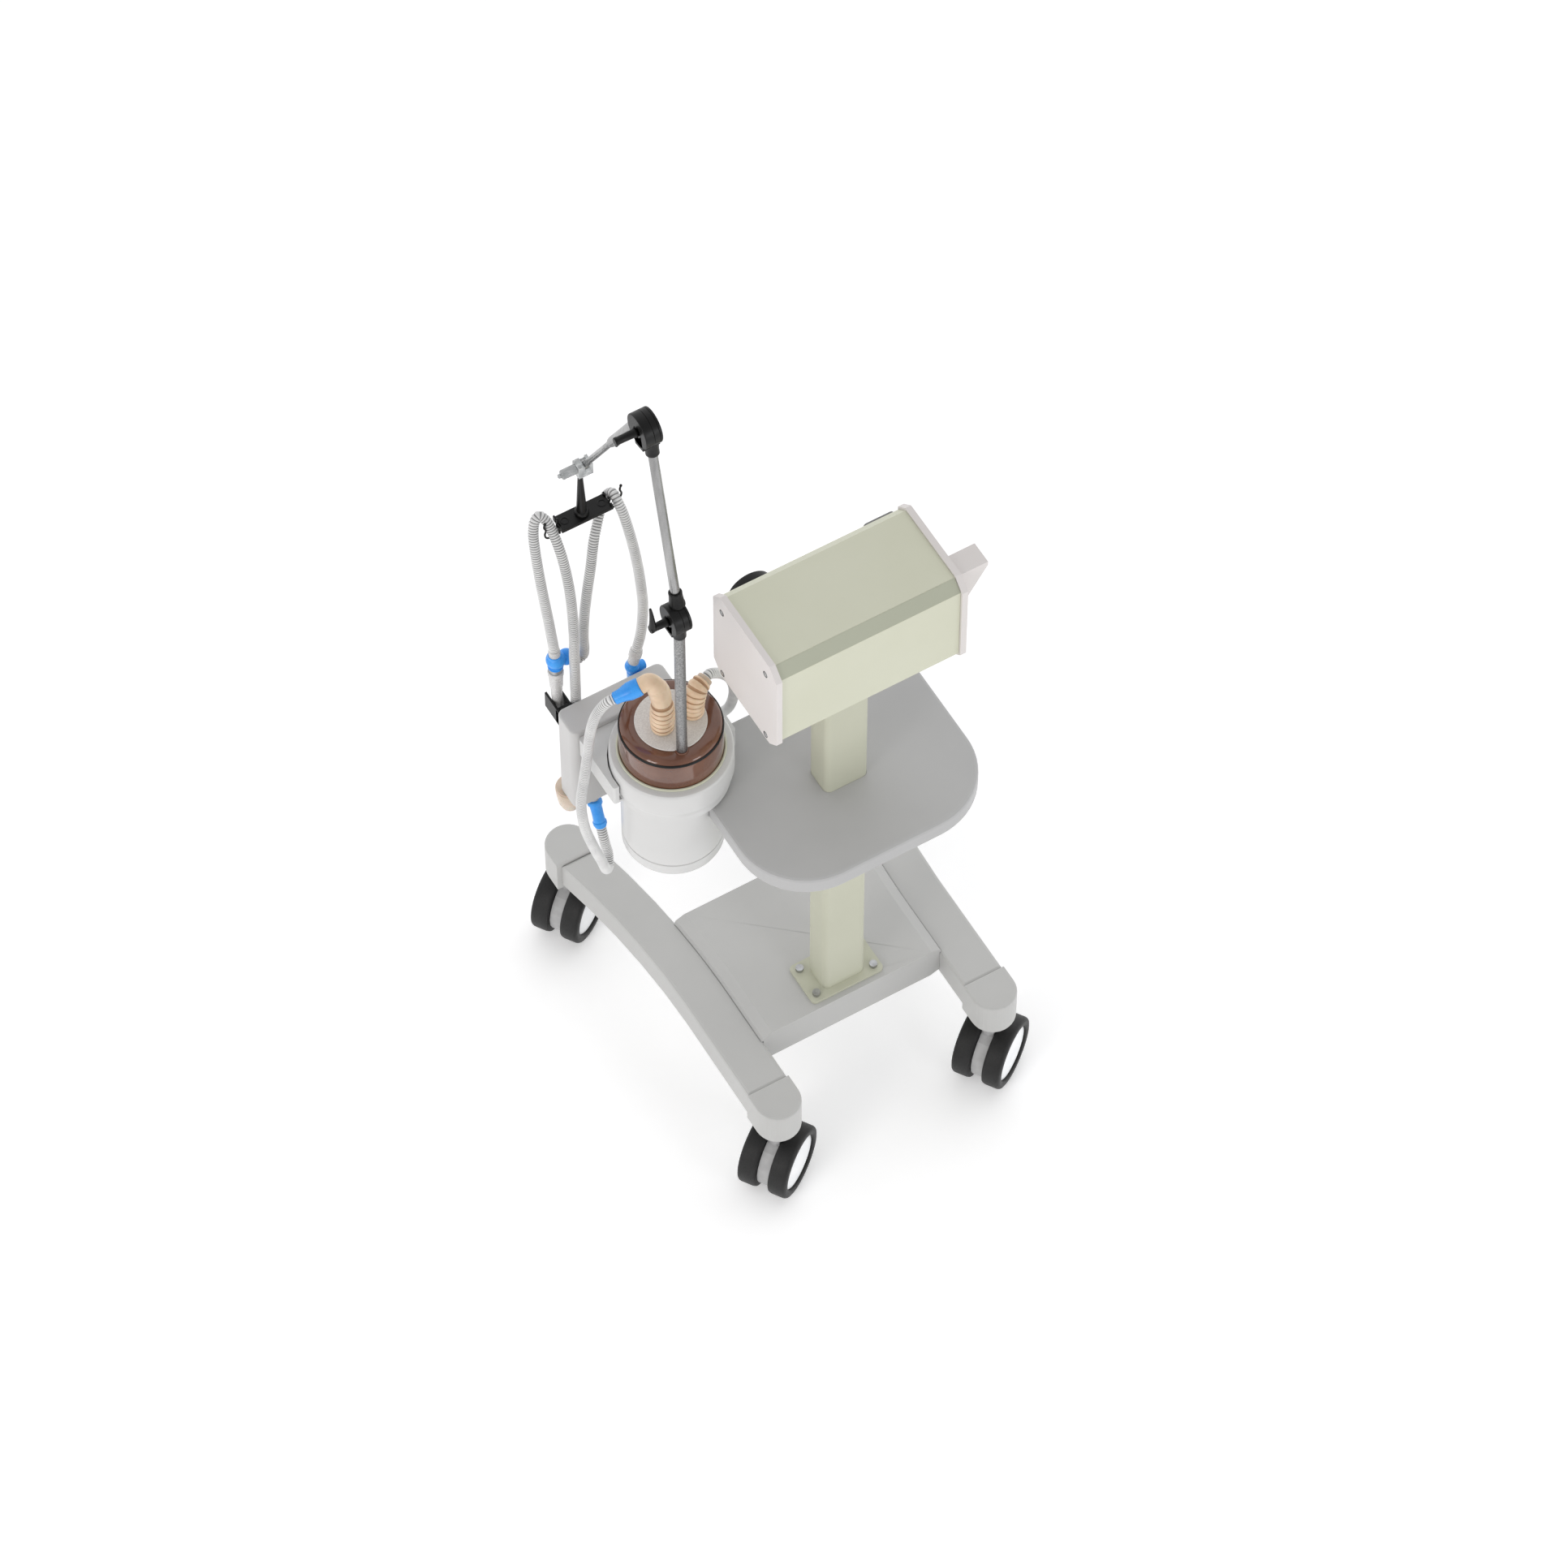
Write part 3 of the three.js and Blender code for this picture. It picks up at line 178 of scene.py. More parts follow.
LOOK = {
    "cream_paint": coat("cream_powder_coat", (202, 203, 182), (205, 206, 186)),
    "column_cream": coat("column_coat", (190, 191, 172), (194, 195, 176)),
    # painted shade: the darker coat laid on the cover's folded rear edge
    "cream_fold_painted_shade": coat("cream_coat_painted_shade_on_fold", (171, 174, 155), (175, 178, 159), (0.5, 0.62)),
    "white_paint": coat("side_plate_paint", (214, 209, 206), (217, 212, 210), (0.4, 0.52)),
    "grey_paint": coat(
        "grey_powder_coat", (186, 186, 184), (190, 190, 188), (0.42, 0.58), patch=5, grain=1300, bump=0.00014
    ),
    "shelf_grey": coat(
        "shelf_powder_coat", (175,) * 3, (179,) * 3, (0.42, 0.58), patch=5, grain=1300, bump=0.00014
    ),
    "bracket_grey": material(
        "control_box_paint", tint(193, 192, 191), tint(197, 196, 195), (0.35, 0.48), patch=8, grain=1100
    ),
    "bright_steel": material(
        "polished_tube",
        grey(140),
        grey(168),
        (0.22, 0.34),
        patch=60,
        grain=700,
        bump=0.00003,
        metallic=1.0,
        stretch=(1, 1, 0.05),
    ),
    "zinc_tube": material(
        "mottled_zinc", grey(122), grey(164), (0.3, 0.5), patch=420, grain=900, bump=0.0001, metallic=0.85
    ),
    "zinc_plate": material(
        "zinc_plating", grey(165), grey(195, -0.02), (0.28, 0.42), patch=90, grain=800, metallic=1.0
    ),
    "white_plastic": material(
        "white_moulding", tint(206, 206, 205), tint(210, 210, 209), (0.28, 0.4), patch=8, grain=1000
    ),
    "white_disc": material(
        "grained_white_disc", tint(206, 201, 196), tint(222, 218, 213), (0.5, 0.65), patch=500, bump=0.0002
    ),
    "black_plastic": material(
        "black_moulding",
        grey(14),
        grey(20),
        (0.32, 0.46),
        patch=40,
        grain=1200,
        bump=0.00008,
        Specular_IOR_Level=0.3,
    ),
    "caster_grey": material(
        "caster_nylon", grey(176), grey(186), (0.4, 0.55), patch=60, grain=1000, bump=0.0001
    ),
    "hub_white": material(
        "hub_disc", tint(244, 246, 248), tint(250, 251, 252), (0.32, 0.45), patch=50
    ),
    "tyre_rubber": material(
        "tyre_rubber", grey(12), grey(20), (0.45, 0.65), patch=70, grain=700, bump=0.00012
    ),
    "sidewall": material(
        "worn_sidewall", grey(40), grey(52), (0.5, 0.7), patch=90, grain=600, bump=0.00015
    ),
    "amber_chamber": material(
        "amber_moulding",
        tint(118, 76, 58),
        tint(138, 94, 74),
        (0.06, 0.12),
        patch=14,
        grain=300,
        bump=0.00002,
        Transmission_Weight=0.34,
        IOR=1.5,
        Coat_Weight=0.35,
        Coat_Roughness=0.05,
    ),
    "beige_silicone": material(
        "beige_silicone",
        tint(220, 190, 158),
        tint(234, 208, 178),
        (0.3, 0.42),
        patch=45,
        grain=500,
        bump=0.0001,
        Subsurface_Weight=0.12,
        Subsurface_Scale=0.002,
        Coat_Weight=0.15,
    ),
    "beige_plastic": material(
        "beige_moulding",
        tint(196, 178, 158),
        tint(212, 196, 178),
        (0.25, 0.35),
        patch=40,
        Subsurface_Weight=0.25,
        Subsurface_Scale=0.006,
    ),
    "hose_plastic": material(
        "hose_plastic",
        tint(214, 214, 214),
        tint(226, 226, 225),
        (0.28, 0.42),
        patch=40,
        grain=500,
        bump=0.00005,
    ),
    # painted shade: a dark material for the valleys between the hoses' ribs
    "hose_valley_painted_shade": coat("hose_valley_painted_shade", (132, 132, 132), (144, 144, 143), (0.4, 0.55), 40, 500, 0.00005),
    # painted shade: a darker material for the valleys between the silicone elbows' rings
    "silicone_valley_painted_shade": coat("silicone_valley_painted_shade", (168, 130, 98), (184, 148, 114), (0.4, 0.5), 45, 500),
    "blue_plastic": material(
        "blue_moulding",
        tint(48, 146, 236),
        tint(62, 160, 246),
        (0.25, 0.38),
        patch=50,
        grain=600,
    ),
    "clear_tube": material(
        "milky_tube",
        tint(214, 213, 212),
        tint(224, 223, 222),
        (0.2, 0.3),
        patch=50,
        grain=500,
        Transmission_Weight=0.15,
    ),
    "clear_plastic": material(
        "clear_moulding",
        tint(205, 208, 209),
        tint(228, 230, 230),
        (0.08, 0.16),
        patch=80,
        grain=400,
        Transmission_Weight=0.6,
        IOR=1.49,
    ),
    "screen": material(
        "screen_glass", grey(26), grey(34, -0.1), (0.06, 0.12), patch=12, grain=300, Coat_Weight=0.6
    ),
    "control_grey": material("control_moulding", grey(118), grey(130), (0.38, 0.5), patch=30),
    "button_blue": material(
        "button_moulding", tint(40, 120, 210), tint(60, 140, 226), (0.25, 0.35), patch=60
    ),
    "board_green": material("lacquered_board", tint(36, 88, 60), tint(58, 118, 82), (0.3, 0.45), patch=120),
}

# ---------------------------------------------------------------- making meshes

BALL_STEPS = 14
FLAT_ANGLE = math.radians(0.6)  # faces closer to level than this are one flat face


def across(axis):
    """Two directions square to an axis and to each other."""
    axis = Vector(axis).normalized()
    helper = Vector((0, 0, 1)) if abs(axis.z) < 0.9 else Vector((1, 0, 0))
    first = axis.cross(helper).normalized()
    return first, axis.cross(first)


class Shell:
    """Closed surfaces made of rings of points, gathered into one mesh."""

    def __init__(self):
        self.points = []
        self.faces = []

    def loft(self, rings, closed=False):
        """Joins rings of equally many points, with flat ends unless the last ring meets the first."""
        start, sides = len(self.points), len(rings[0])
        for ring in rings:
            self.points.extend(Vector(point) for point in ring)
        count = len(rings)
        for i in range(count if closed else count - 1):
            here, there = start + i * sides, start + (i + 1) % count * sides
            for j in range(sides):
                after = (j + 1) % sides
                self.faces.append((here + j, here + after, there + after, there + j))
        if not closed:
            self.faces.append(tuple(start + j for j in reversed(range(sides))))
            self.faces.append(tuple(start + (count - 1) * sides + j for j in range(sides)))
        return self

    def turned(self, profile, centre=(0, 0, 0), axis=(0, 0, 1), sides=48, closed=False, wave=None):
        """A profile of (radius, height) points turned round an axis."""
        centre, axis = Vector(centre), Vector(axis).normalized()
        first, second = across(axis)
        rings = []
        for radius, height in profile:
            ring = []
            for j in range(sides):
                angle = 2 * math.pi * j / sides
                reach = radius * (wave(angle, height) if wave else 1)
                outwards = first * math.cos(angle) + second * math.sin(angle)
                ring.append(centre + axis * height + outwards * reach)
            rings.append(ring)
        return self.loft(rings, closed)

    def tube(self, line, radii, sides=16):
        """A round tube along a line of points, with a radius at each point."""
        side = across(line[1] - line[0])[0]
        rings = []
        for i, point in enumerate(line):
            ahead = line[min(i + 1, len(line) - 1)] - line[max(i - 1, 0)]
            ahead.normalize()
            side = (side - ahead * side.dot(ahead)).normalized()
            other = ahead.cross(side)
            ring = []
            for j in range(sides):
                angle = 2 * math.pi * j / sides
                ring.append(point + (side * math.cos(angle) + other * math.sin(angle)) * radii[i])
            rings.append(ring)
        return self.loft(rings)

    def block(self, low, high):
        """A box between two opposite corners."""
        corners = [(low[0], low[1]), (high[0], low[1]), (high[0], high[1]), (low[0], high[1])]
        return self.loft([[(x, y, low[2]) for x, y in corners], [(x, y, high[2]) for x, y in corners]])

    def spindle(self, start, end, profile, sides=36, wave=None):
        """A turned shape between two points, its profile's heights given as shares of the way."""
        start, end = Vector(start), Vector(end)
        way = end - start
        return self.turned([(r, h * way.length) for r, h in profile], start, way, sides, wave=wave)

    def ball(self, radius, centre, axis, sides):
        """A ball as a stack of rings about an axis, with its poles cut small."""
        turns = [math.pi * (i + 0.5) / BALL_STEPS for i in range(BALL_STEPS)]
        profile = [(radius * math.sin(t), -radius * math.cos(t)) for t in turns]
        return self.turned(profile, centre, axis, sides)


def piece(name, shell, look, body, replaced=(), smooth=32, bevel=0.0):
    """A new piece of the object, in a material, riding on a body."""
    mesh = bpy.data.meshes.new(name)
    mesh.from_pydata(metres(shell.points), [], shell.faces)
    turn_outwards(mesh)
    made = bpy.data.objects.new(name, mesh)
    scene.collection.objects.link(made)
    dress(made, look, smooth, bevel)
    if replaced:
        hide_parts(*replaced)
    if body:
        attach(made, body)
    return made


def turn_outwards(mesh):
    """Faces the surfaces of a mesh outwards."""
    work = bmesh.new()
    work.from_mesh(mesh)
    bmesh.ops.recalc_face_normals(work, faces=work.faces)
    work.to_mesh(mesh)
    work.free()


def shade_valleys(made, look, radii, limits, sides):
    """The faces of a tube whose rings are narrower than their limit take a second, darker material: painted
    shade in the valleys.
    """
    made.data.materials.append(LOOK[look])
    for i in range(len(radii) - 1):
        if (radii[i] + radii[i + 1]) / 2 < limits[i]:
            for j in range(sides):
                made.data.polygons[i * sides + j].material_index = 1


def dress(made, look, smooth=32, bevel=0.0):
    """Material, shading that breaks at sharp edges only, and eased edges."""
    made.data.materials.clear()
    made.data.materials.append(LOOK[look])
    made.data.shade_smooth()
    made.data.set_sharp_from_angle(angle=math.radians(smooth))
    if bevel:
        merge = made.modifiers.new("flat faces", "DECIMATE")
        merge.decimate_type = "DISSOLVE"
        merge.angle_limit = FLAT_ANGLE
        ease = made.modifiers.new("eased edges", "BEVEL")
        ease.width = bevel * MM
        ease.segments = 3
        ease.limit_method = "ANGLE"
        ease.angle_limit = math.radians(smooth)
        ease.miter_outer = "MITER_ARC"
        weigh = made.modifiers.new("weighted normals", "WEIGHTED_NORMAL")
        weigh.keep_sharp = False


STEPS_TO_A_SPAN = 24


def smooth_line(route, step):
    """The centripetal curve through the points, as points a step apart and their distances along it."""
    points = [Vector(point) for point in route]
    points.insert(0, points[0] * 2 - points[1])
    points.append(points[-1] * 2 - points[-2])
    fine = []
    for k in range(1, len(points) - 2):
        p0, p1, p2, p3 = points[k - 1 : k + 3]
        d0, d1, d2 = (max((b - a).length ** 0.5, 1e-4) for a, b in ((p0, p1), (p1, p2), (p2, p3)))
        t1 = ((p1 - p0) / d0 - (p2 - p0) / (d0 + d1) + (p2 - p1) / d1) * d1
        t2 = ((p2 - p1) / d1 - (p3 - p1) / (d1 + d2) + (p3 - p2) / d2) * d1
        for i in range(STEPS_TO_A_SPAN):
            t = i / STEPS_TO_A_SPAN
            fine.append(
                p1
                + t1 * t
                + (p1 * -3 + p2 * 3 - t1 * 2 - t2) * t**2
                + (p1 * 2 - p2 * 2 + t1 + t2) * t**3
            )
    fine.append(points[-2])
    reach = [0.0]
    for a, b in zip(fine, fine[1:]):
        reach.append(reach[-1] + (b - a).length)
    count = max(2, round(reach[-1] / step))
    line, distance, k = [], [], 0
    for i in range(count + 1):
        target = reach[-1] * i / count
        while k < len(reach) - 2 and reach[k + 1] < target:
            k += 1
        share = (target - reach[k]) / max(reach[k + 1] - reach[k], 1e-9)
        line.append(fine[k].lerp(fine[k + 1], min(share, 1)))
        distance.append(target)
    return line, distance


def metres(line):
    """The points of a line in the frame."""
    return [tuple(TO_FRAME @ point) for point in line]


# ---------------------------------------------------------------- the hoses

HOSE_RADIUS = 8.25
RIB_PITCH = 4.2
RIB_DEPTH = 1.5
RINGS_TO_A_RIB = 6
VALLEY_SHARE = 0.62  # of a rib's depth, below which the wall takes the painted valley shade
HOSE_SIDES = 18

HOSE_1 = [
    (317, -302, 975), (321, -306, 1039), (324.5, -320, 1130), (322, -338, 1190),
    (317.5, -350, 1217), (310, -358, 1235), (302, -359.5, 1240), (295, -353, 1234),
    (291.5, -344, 1221), (289, -322, 1187), (288, -300, 1117), (291.4, -284.5, 1023),
    (293.2, -283, 959), (293.2, -283, 919), (293, -284, 851), (293, -284, 800),
]
HOSE_2 = [
    (283.2, -303, 925.5), (275.5, -303.2, 919.7), (268, -303, 924), (266, -302, 940),
    (266.5, -302, 965), (264, -303, 1011), (256, -307, 1064), (243, -315, 1119), (229, -327, 1168),
    (215, -340, 1187), (203, -352, 1196), (192, -361, 1204), (184.5, -359.5, 1214),
    (181.3, -352, 1221), (181, -343.6, 1219), (179, -330, 1203), (176, -315, 1164),
    (170.5, -305, 1099), (167.5, -298, 1031), (167.5, -295, 982), (175, -290, 929),
    (184, -287.5, 897),
]
HOSE_3 = [
    (301.4, -146.1, 1031.9), (308.7, -147.8, 1029), (318, -153, 1014), (327, -160, 984),
    (333, -166, 939), (338, -168, 881), (346, -168, 817), (353, -167, 763), (350, -165, 697),
    (333, -168, 618), (318, -174, 562), (306, -182, 518), (297, -192, 506), (291.5, -202, 522),
    (293.5, -205.5, 545), (295.3, -208.2, 566.5), (294.6, -216.5, 584.3),
]
HOSE_4 = [
    (158.6, -129.6, 993.1), (148, -133.6, 995.7), (127, -141, 975), (104, -151, 935),
    (86, -166, 876), (77, -186, 807), (76, -206, 755), (84, -228, 717), (106, -245.75, 700),
    (140.7, -245.75, 700),
]

# The bodies from the stand to the holder: a held hose has one length between each two of them.
CHAIN = ["stand", "pole", "upper_arm", "forearm", "holder"]

# The lowest length of a limb, which swivels, is just over six diameters.
# The rest of the limb is shared between knuckle 1, knuckle 2 and the holder's hinge.
LOW_LENGTH = 100.5
UPPER_SHARES = [0.17, 0.61, 0.22]

# The long lengths of a held hose, each with the shorter ones that hang on it.
DECLARED_LENGTHS = {1: (0,), 5: (2, 3, 4, 6, 7), 9: (8, 10)}


def rib_radius(distance):
    """The corrugated wall: a rounded crest and a narrower valley to each rib."""
    phase = distance / RIB_PITCH % 1
    return HOSE_RADIUS - RIB_DEPTH * (0.5 + 0.5 * math.cos(2 * math.pi * phase)) ** 1.6


def hose_piece(name, line, distance, first, last, body, replaced=()):
    """One length of a corrugated hose, from one of its rings to another."""
    radii = [rib_radius(d) for d in distance[first : last + 1]]
    shell = Shell().tube(line[first : last + 1], radii, HOSE_SIDES)
    made = piece(name, shell, "hose_plastic", body, replaced, smooth=70)
    # the valleys between the ribs take painted shade
    limits = [HOSE_RADIUS - VALLEY_SHARE * RIB_DEPTH] * len(radii)
    shade_valleys(made, "hose_valley_painted_shade", radii, limits, HOSE_SIDES)
    return made


def whole_hose(name, route):
    """A hose between parts that never move against each other."""
    line, distance = smooth_line(route, RIB_PITCH / RINGS_TO_A_RIB)
    made = hose_piece(name + "_tube", line, distance, 0, len(line) - 1, "stand", [name])


def held_hose(name, route, foot, top_from, top_to, tail):
    """A hose that the holder carries: both its limbs are cut into lengths where the arm's joints are.

    The lengths before foot and after tail stay with the stand, and the one between top_from and
    top_to stays in the holder's clip."""
    line, distance = smooth_line(route, RIB_PITCH / RINGS_TO_A_RIB)

    def ring_near(point):
        gaps = [(spot - Vector(point)).length for spot in line]
        return gaps.index(min(gaps))

    stops = [ring_near(route[i]) for i in (foot, top_from, top_to, tail)]

    def cuts(first, last, upwards):
        """The rings where a limb is cut, from its lower end upwards or from the holder down."""
        low = LOW_LENGTH / (distance[last] - distance[first])
        shares = [low] + [(1 - low) * share for share in UPPER_SHARES]
        marks = [first]
        for share in shares if upwards else shares[::-1]:
            marks.append(marks[-1] + round((last - first) * share))
        marks[-1] = last
        return marks

    rising = cuts(stops[0], stops[1], True)
    falling = cuts(stops[2], stops[3], False)
    lengths = [(0, stops[0], "stand", "stand")]
    lengths += list(zip(rising, rising[1:], CHAIN, CHAIN[1:]))
    lengths += [(stops[1], stops[2], "holder", "holder")]
    lengths += list(zip(falling, falling[1:], CHAIN[::-1], CHAIN[-2::-1]))
    lengths += [(stops[3], len(line) - 1, "stand", "stand")]

    made = {}
    for number, (first, last, a, b) in enumerate(lengths):
        if last - first < 2:
            continue
        body = a if a == b else None
        made[number] = hose_piece(f"{name}_length_{number}", line, distance, first, last, body)
        if a != b:
            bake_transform(made[number])
    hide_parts(name)
    for number, beside in DECLARED_LENGTHS.items():
        first, last = lengths[number][:2]


held_hose("hose_1", HOSE_1, foot=0, top_from=3, top_to=9, tail=13)
held_hose("hose_2", HOSE_2, foot=3, top_from=8, top_to=16, tail=20)
whole_hose("hose_3", HOSE_3)
whole_hose("hose_4", HOSE_4)

# ---------------------------------------------------------------- elbows and fittings

ELBOW_LEFT = [
    (237, -117, 944.5), (237, -117, 965), (236, -119, 1005), (238.5, -126, 1036),
    (248.7, -134, 1052), (261.5, -137, 1047.2),
]
ELBOW_RIGHT = [
    (184, -118, 944.5), (184, -118, 958), (180, -120.5, 977), (171, -125, 990), (159, -129.5, 993),
]
ELBOW_STEP = 0.7
ELBOW_SIDES = 40
CREST_REACH = 8  # points on each side among which an elbow's crest is looked for
SHADE_DEPTH = 1.5  # how far below its crest an elbow's wall takes the painted valley shade


def bead(distance, start, pitch, count, depth):
    """How far a row of rounded rings stands out at a distance along the tube."""
    place = (distance - start) / pitch
    if not 0 <= place <= count:
        return 0.0
    return depth * abs(math.sin(math.pi * place)) ** 0.55


def left_elbow_radius(distance):
    """A stack of six fat rings, a waist, a smooth dome at the bend and a tube that narrows."""
    wall, stack, bend = 14.6, 60, 94
    if distance < stack:
        swell = 1.6 * math.sin(math.pi * distance / stack)
        return wall + swell + bead(distance, 0, stack / 6, 6, 3.0)
    if distance < bend:
        dome = math.sin(math.pi * min((distance - stack) / 44, 1))
        return wall + 1.9 * dome + bead(distance, stack + 1, 3.2, 1, 0.8)
    taper = min((distance - bend) / 26, 1)
    return 15.4 - 2.6 * taper + bead(distance, bend - 1, 3.2, 1, 0.9)


def right_elbow_radius(distance):
    """Eight rings that close in a little towards the mouth."""
    narrow = 3.4 * max(0, (distance - 40) / 23) ** 1.3
    return 15 - narrow + bead(distance, 0, 7.9, 8, 2.8)


def elbow(side, route, radius_at):
    """A silicone elbow, with painted shade in the valleys between its rings."""
    line, distance = smooth_line(route, ELBOW_STEP)
    radii = [radius_at(d) for d in distance]
    shell = Shell().tube(line, radii, ELBOW_SIDES)
    made = piece(f"ribbed_elbow_{side}", shell, "beige_silicone", "stand", [f"elbow_{side}"], smooth=60)
    near = [radii[max(i - CREST_REACH, 0) : i + CREST_REACH + 1] for i in range(len(radii))]
    shade_valleys(made, "silicone_valley_painted_shade", radii, [max(part) - SHADE_DEPTH for part in near], ELBOW_SIDES)


elbow("left", ELBOW_LEFT, left_elbow_radius)
elbow("right", ELBOW_RIGHT, right_elbow_radius)

# The collar in which the right elbow takes hose 4.
mouth = Vector(ELBOW_RIGHT[-1])
mouth_way = Vector(HOSE_4[1]) - mouth
cuff = [(8.6, -9), (13.2, -9), (13.8, -8), (13.8, -2), (12.4, -1), (12.4, 5), (11.8, 6), (8.6, 6)]
piece("elbow_right_cuff", Shell().turned(cuff, mouth, mouth_way, 40, closed=True), "beige_plastic", "stand")

cone = [
    (13, 0), (14.1, 0.03), (14.3, 0.1), (14.1, 0.42), (13.2, 0.5), (11.4, 0.66), (10.2, 0.8),
    (9.9, 0.97), (9.3, 1),
]
cone_shell = Shell().spindle(
    (262, -137.1, 1047), (301, -146, 1032.1), cone, 40, wave=lambda a, h: 1 + 0.012 * math.cos(16 * a)
)
piece("cone_connector_body", cone_shell, "blue_plastic", "stand", ["cone_connector"])
joint = [
    (8.6, 0), (9.4, 0.02), (9.5, 0.08), (11, 0.1), (11, 0.19), (9.4, 0.21), (9.2, 0.5), (9.5, 0.83),
    (11.6, 0.85), (12, 0.87), (12, 0.96), (11.4, 0.99), (9, 1),
]
joint_shell = Shell().spindle((294.6, -216.7, 584.6), (293, -238, 630), joint, 40)
piece("joint_connector_body", joint_shell, "blue_plastic", "stand", ["joint_connector"])

# The Y-piece stands almost upright, with its branch towards the other limb.
Y_LEAN = (0.02, 0, 1)
stem = [(10.4, 0), (11.2, 0.08), (11.2, 0.9), (10.4, 1)]
branch = [(8, 0), (9.4, 0.3), (9.2, 0.93), (8.4, 1)]
band = [(10, -1.1), (11.9, -0.8), (12.2, 0), (11.9, 0.8), (10, 1.1)]
y_shell = Shell()
y_shell.ball(15.2, (315, -302, 947.5), (0, 0.3, 1), 40)
y_shell.ball(13.2, (296, -304.5, 938), (-0.6, 0, -0.8), 40)
y_shell.spindle((315.6, -302, 928), (316.5, -302, 962), stem)
y_shell.spindle((312, -302, 948), (283.6, -303, 925.8), branch)
for height in (931.5, 935.5):
    y_shell.turned(band, (315.7, -302, height), Y_LEAN, 36)
piece("y_piece_body", y_shell, "blue_plastic", "stand", ["y_piece"])
y_cuff = [
    (8.4, 0), (9.2, 0.06), (9.2, 0.3), (8.6, 0.4), (9.2, 0.5), (8.6, 0.6), (9.2, 0.7), (8.8, 0.95),
    (8.2, 1),
]
cuff_shell = Shell().spindle((316.5, -302, 956), (316.9, -302, 974.6), y_cuff)
piece("y_piece_cuff", cuff_shell, "clear_tube", "stand")
ring = [
    (8, -4.6), (9.8, -4.6), (10.4, -4), (10.4, -1), (9.7, -0.4), (9.7, 0.6), (10.6, 1.2),
    (10.6, 3.4), (9.6, 4.2), (8, 4.2),
]
ring_shell = Shell().turned(ring, (315.8, -302, 923.6), Y_LEAN, 40, closed=True)
piece("y_piece_ring", ring_shell, "zinc_plate", "stand")
adaptor = [
    (6.4, 0), (7.2, 0.01), (7.4, 0.3), (8.3, 0.34), (9.2, 0.62), (10.3, 0.66), (11.3, 0.9),
    (12.3, 0.92), (12.6, 0.97), (11.8, 1),
]
adaptor_shell = Shell().spindle((315.3, -302, 806), (316, -302, 920), adaptor, 40)
piece("y_piece_adaptor", adaptor_shell, "clear_tube", "stand")

# A fork of two cheeks and a back on the control box, which holds the adaptor.
clip = Shell()
clip.block((302.7, -318.4, 812.4), (306.6, -268, 848))
clip.block((324.4, -318.4, 812.4), (328.3, -268, 848))
clip.block((302.7, -284.4, 812.4), (328.3, -268, 847))
piece("box_clip", clip, "black_plastic", "stand", bevel=0.8)

inlet = [(8.2, 0), (9.2, 0.06), (9.4, 0.5), (9, 0.97), (8, 1)]
outlet = [(7, 0), (8, 1), (8, 27), (7, 28)]
trap_cup = [
    (3, 0), (9, 0.6), (11.6, 2.4), (12.6, 5), (13.5, 33), (13.5, 36), (12.4, 36.6), (12.4, 37.6),
    (11, 40), (6, 40),
]
trap = Shell()
trap.spindle((191.3, -287.2, 868), (195, -287, 852), inlet)
trap.ball(11.2, (193.5, -287.2, 857.5), (0.2, 0, -1), 36)
trap.turned(outlet, (200, -287, 853), (-28, 0, -4), 32)
trap.turned(trap_cup, (188, -287, 808), (0, 0, 1), 40)
piece("water_trap_body", trap, "blue_plastic", "stand", ["water_trap"])
trap_cuff = [(8.4, 0), (9.9, 0.06), (10.4, 0.3), (10, 0.5), (8.9, 0.56), (8.9, 0.94), (8, 1)]
trap_cuff_shell = Shell().spindle((184.2, -287.4, 896.4), (191.4, -287.2, 866), trap_cuff)
piece("water_trap_cuff", trap_cuff_shell, "clear_tube", "stand")

# ---------------------------------------------------------------- the humidifier

MIDDLE = (219.5, -122.5, 0)
POLE = (231, -70)
ELBOW_FEET = [route[0][:2] for route in (ELBOW_LEFT, ELBOW_RIGHT)]
ROUND = 128  # sides of the widest turned pieces
housing = [
    (68, 675), (68, 848), (81.5, 848), (81.5, 872.8), (82.2, 873.8), (90, 874), (92.6, 873),
    (94.4, 870.8), (95, 868), (95, 828), (94.2, 824.5), (91.2, 818), (90.2, 815), (90, 811),
    (90, 801.6), (89, 800.3), (72, 800.3), (72, 787), (77.6, 787), (79, 785.4), (79, 663.4),
    (78.4, 662.6), (77.4, 662.4), (77.4, 659.8), (78.4, 659.6), (79, 658.8), (79, 640),
    (77.6, 636.6), (74, 635), (30, 635), (30, 675),
]
piece(
    "humidifier_body",
    Shell().turned(housing, MIDDLE, sides=ROUND, closed=True),
    "white_plastic",
    "stand",
    ["humidifier_housing"],
    smooth=28,
)
gasket = [(79.8, 873.6), (79.8, 876.4), (80.6, 877.4), (82.4, 877.4), (83.4, 876.4), (83.4, 874.3)]
piece("chamber_gasket", Shell().turned(gasket, MIDDLE, sides=ROUND, closed=True), "cream_paint", "stand")
dome = [
    (79.5, 848.4), (79.5, 925), (79.2, 930), (78.2, 934), (76.6, 937), (74, 939.4), (70.5, 940.8),
    (60, 941), (14, 941), (14, 937.6), (69, 937.6), (73, 936), (75.2, 932), (76, 926), (76, 848.4),
]
piece(
    "chamber_dome",
    Shell().turned(dome, MIDDLE, sides=ROUND, closed=True),
    "amber_chamber",
    "stand",
    ["water_chamber"],
    smooth=40,
)
rim = [(79.4, 931.5), (79.9, 932.4), (79.5, 934.4), (78.2, 936), (77.2, 935.4), (78.4, 932.4)]
piece("chamber_rim", Shell().turned(rim, MIDDLE, sides=ROUND, closed=True), "black_plastic", "stand")
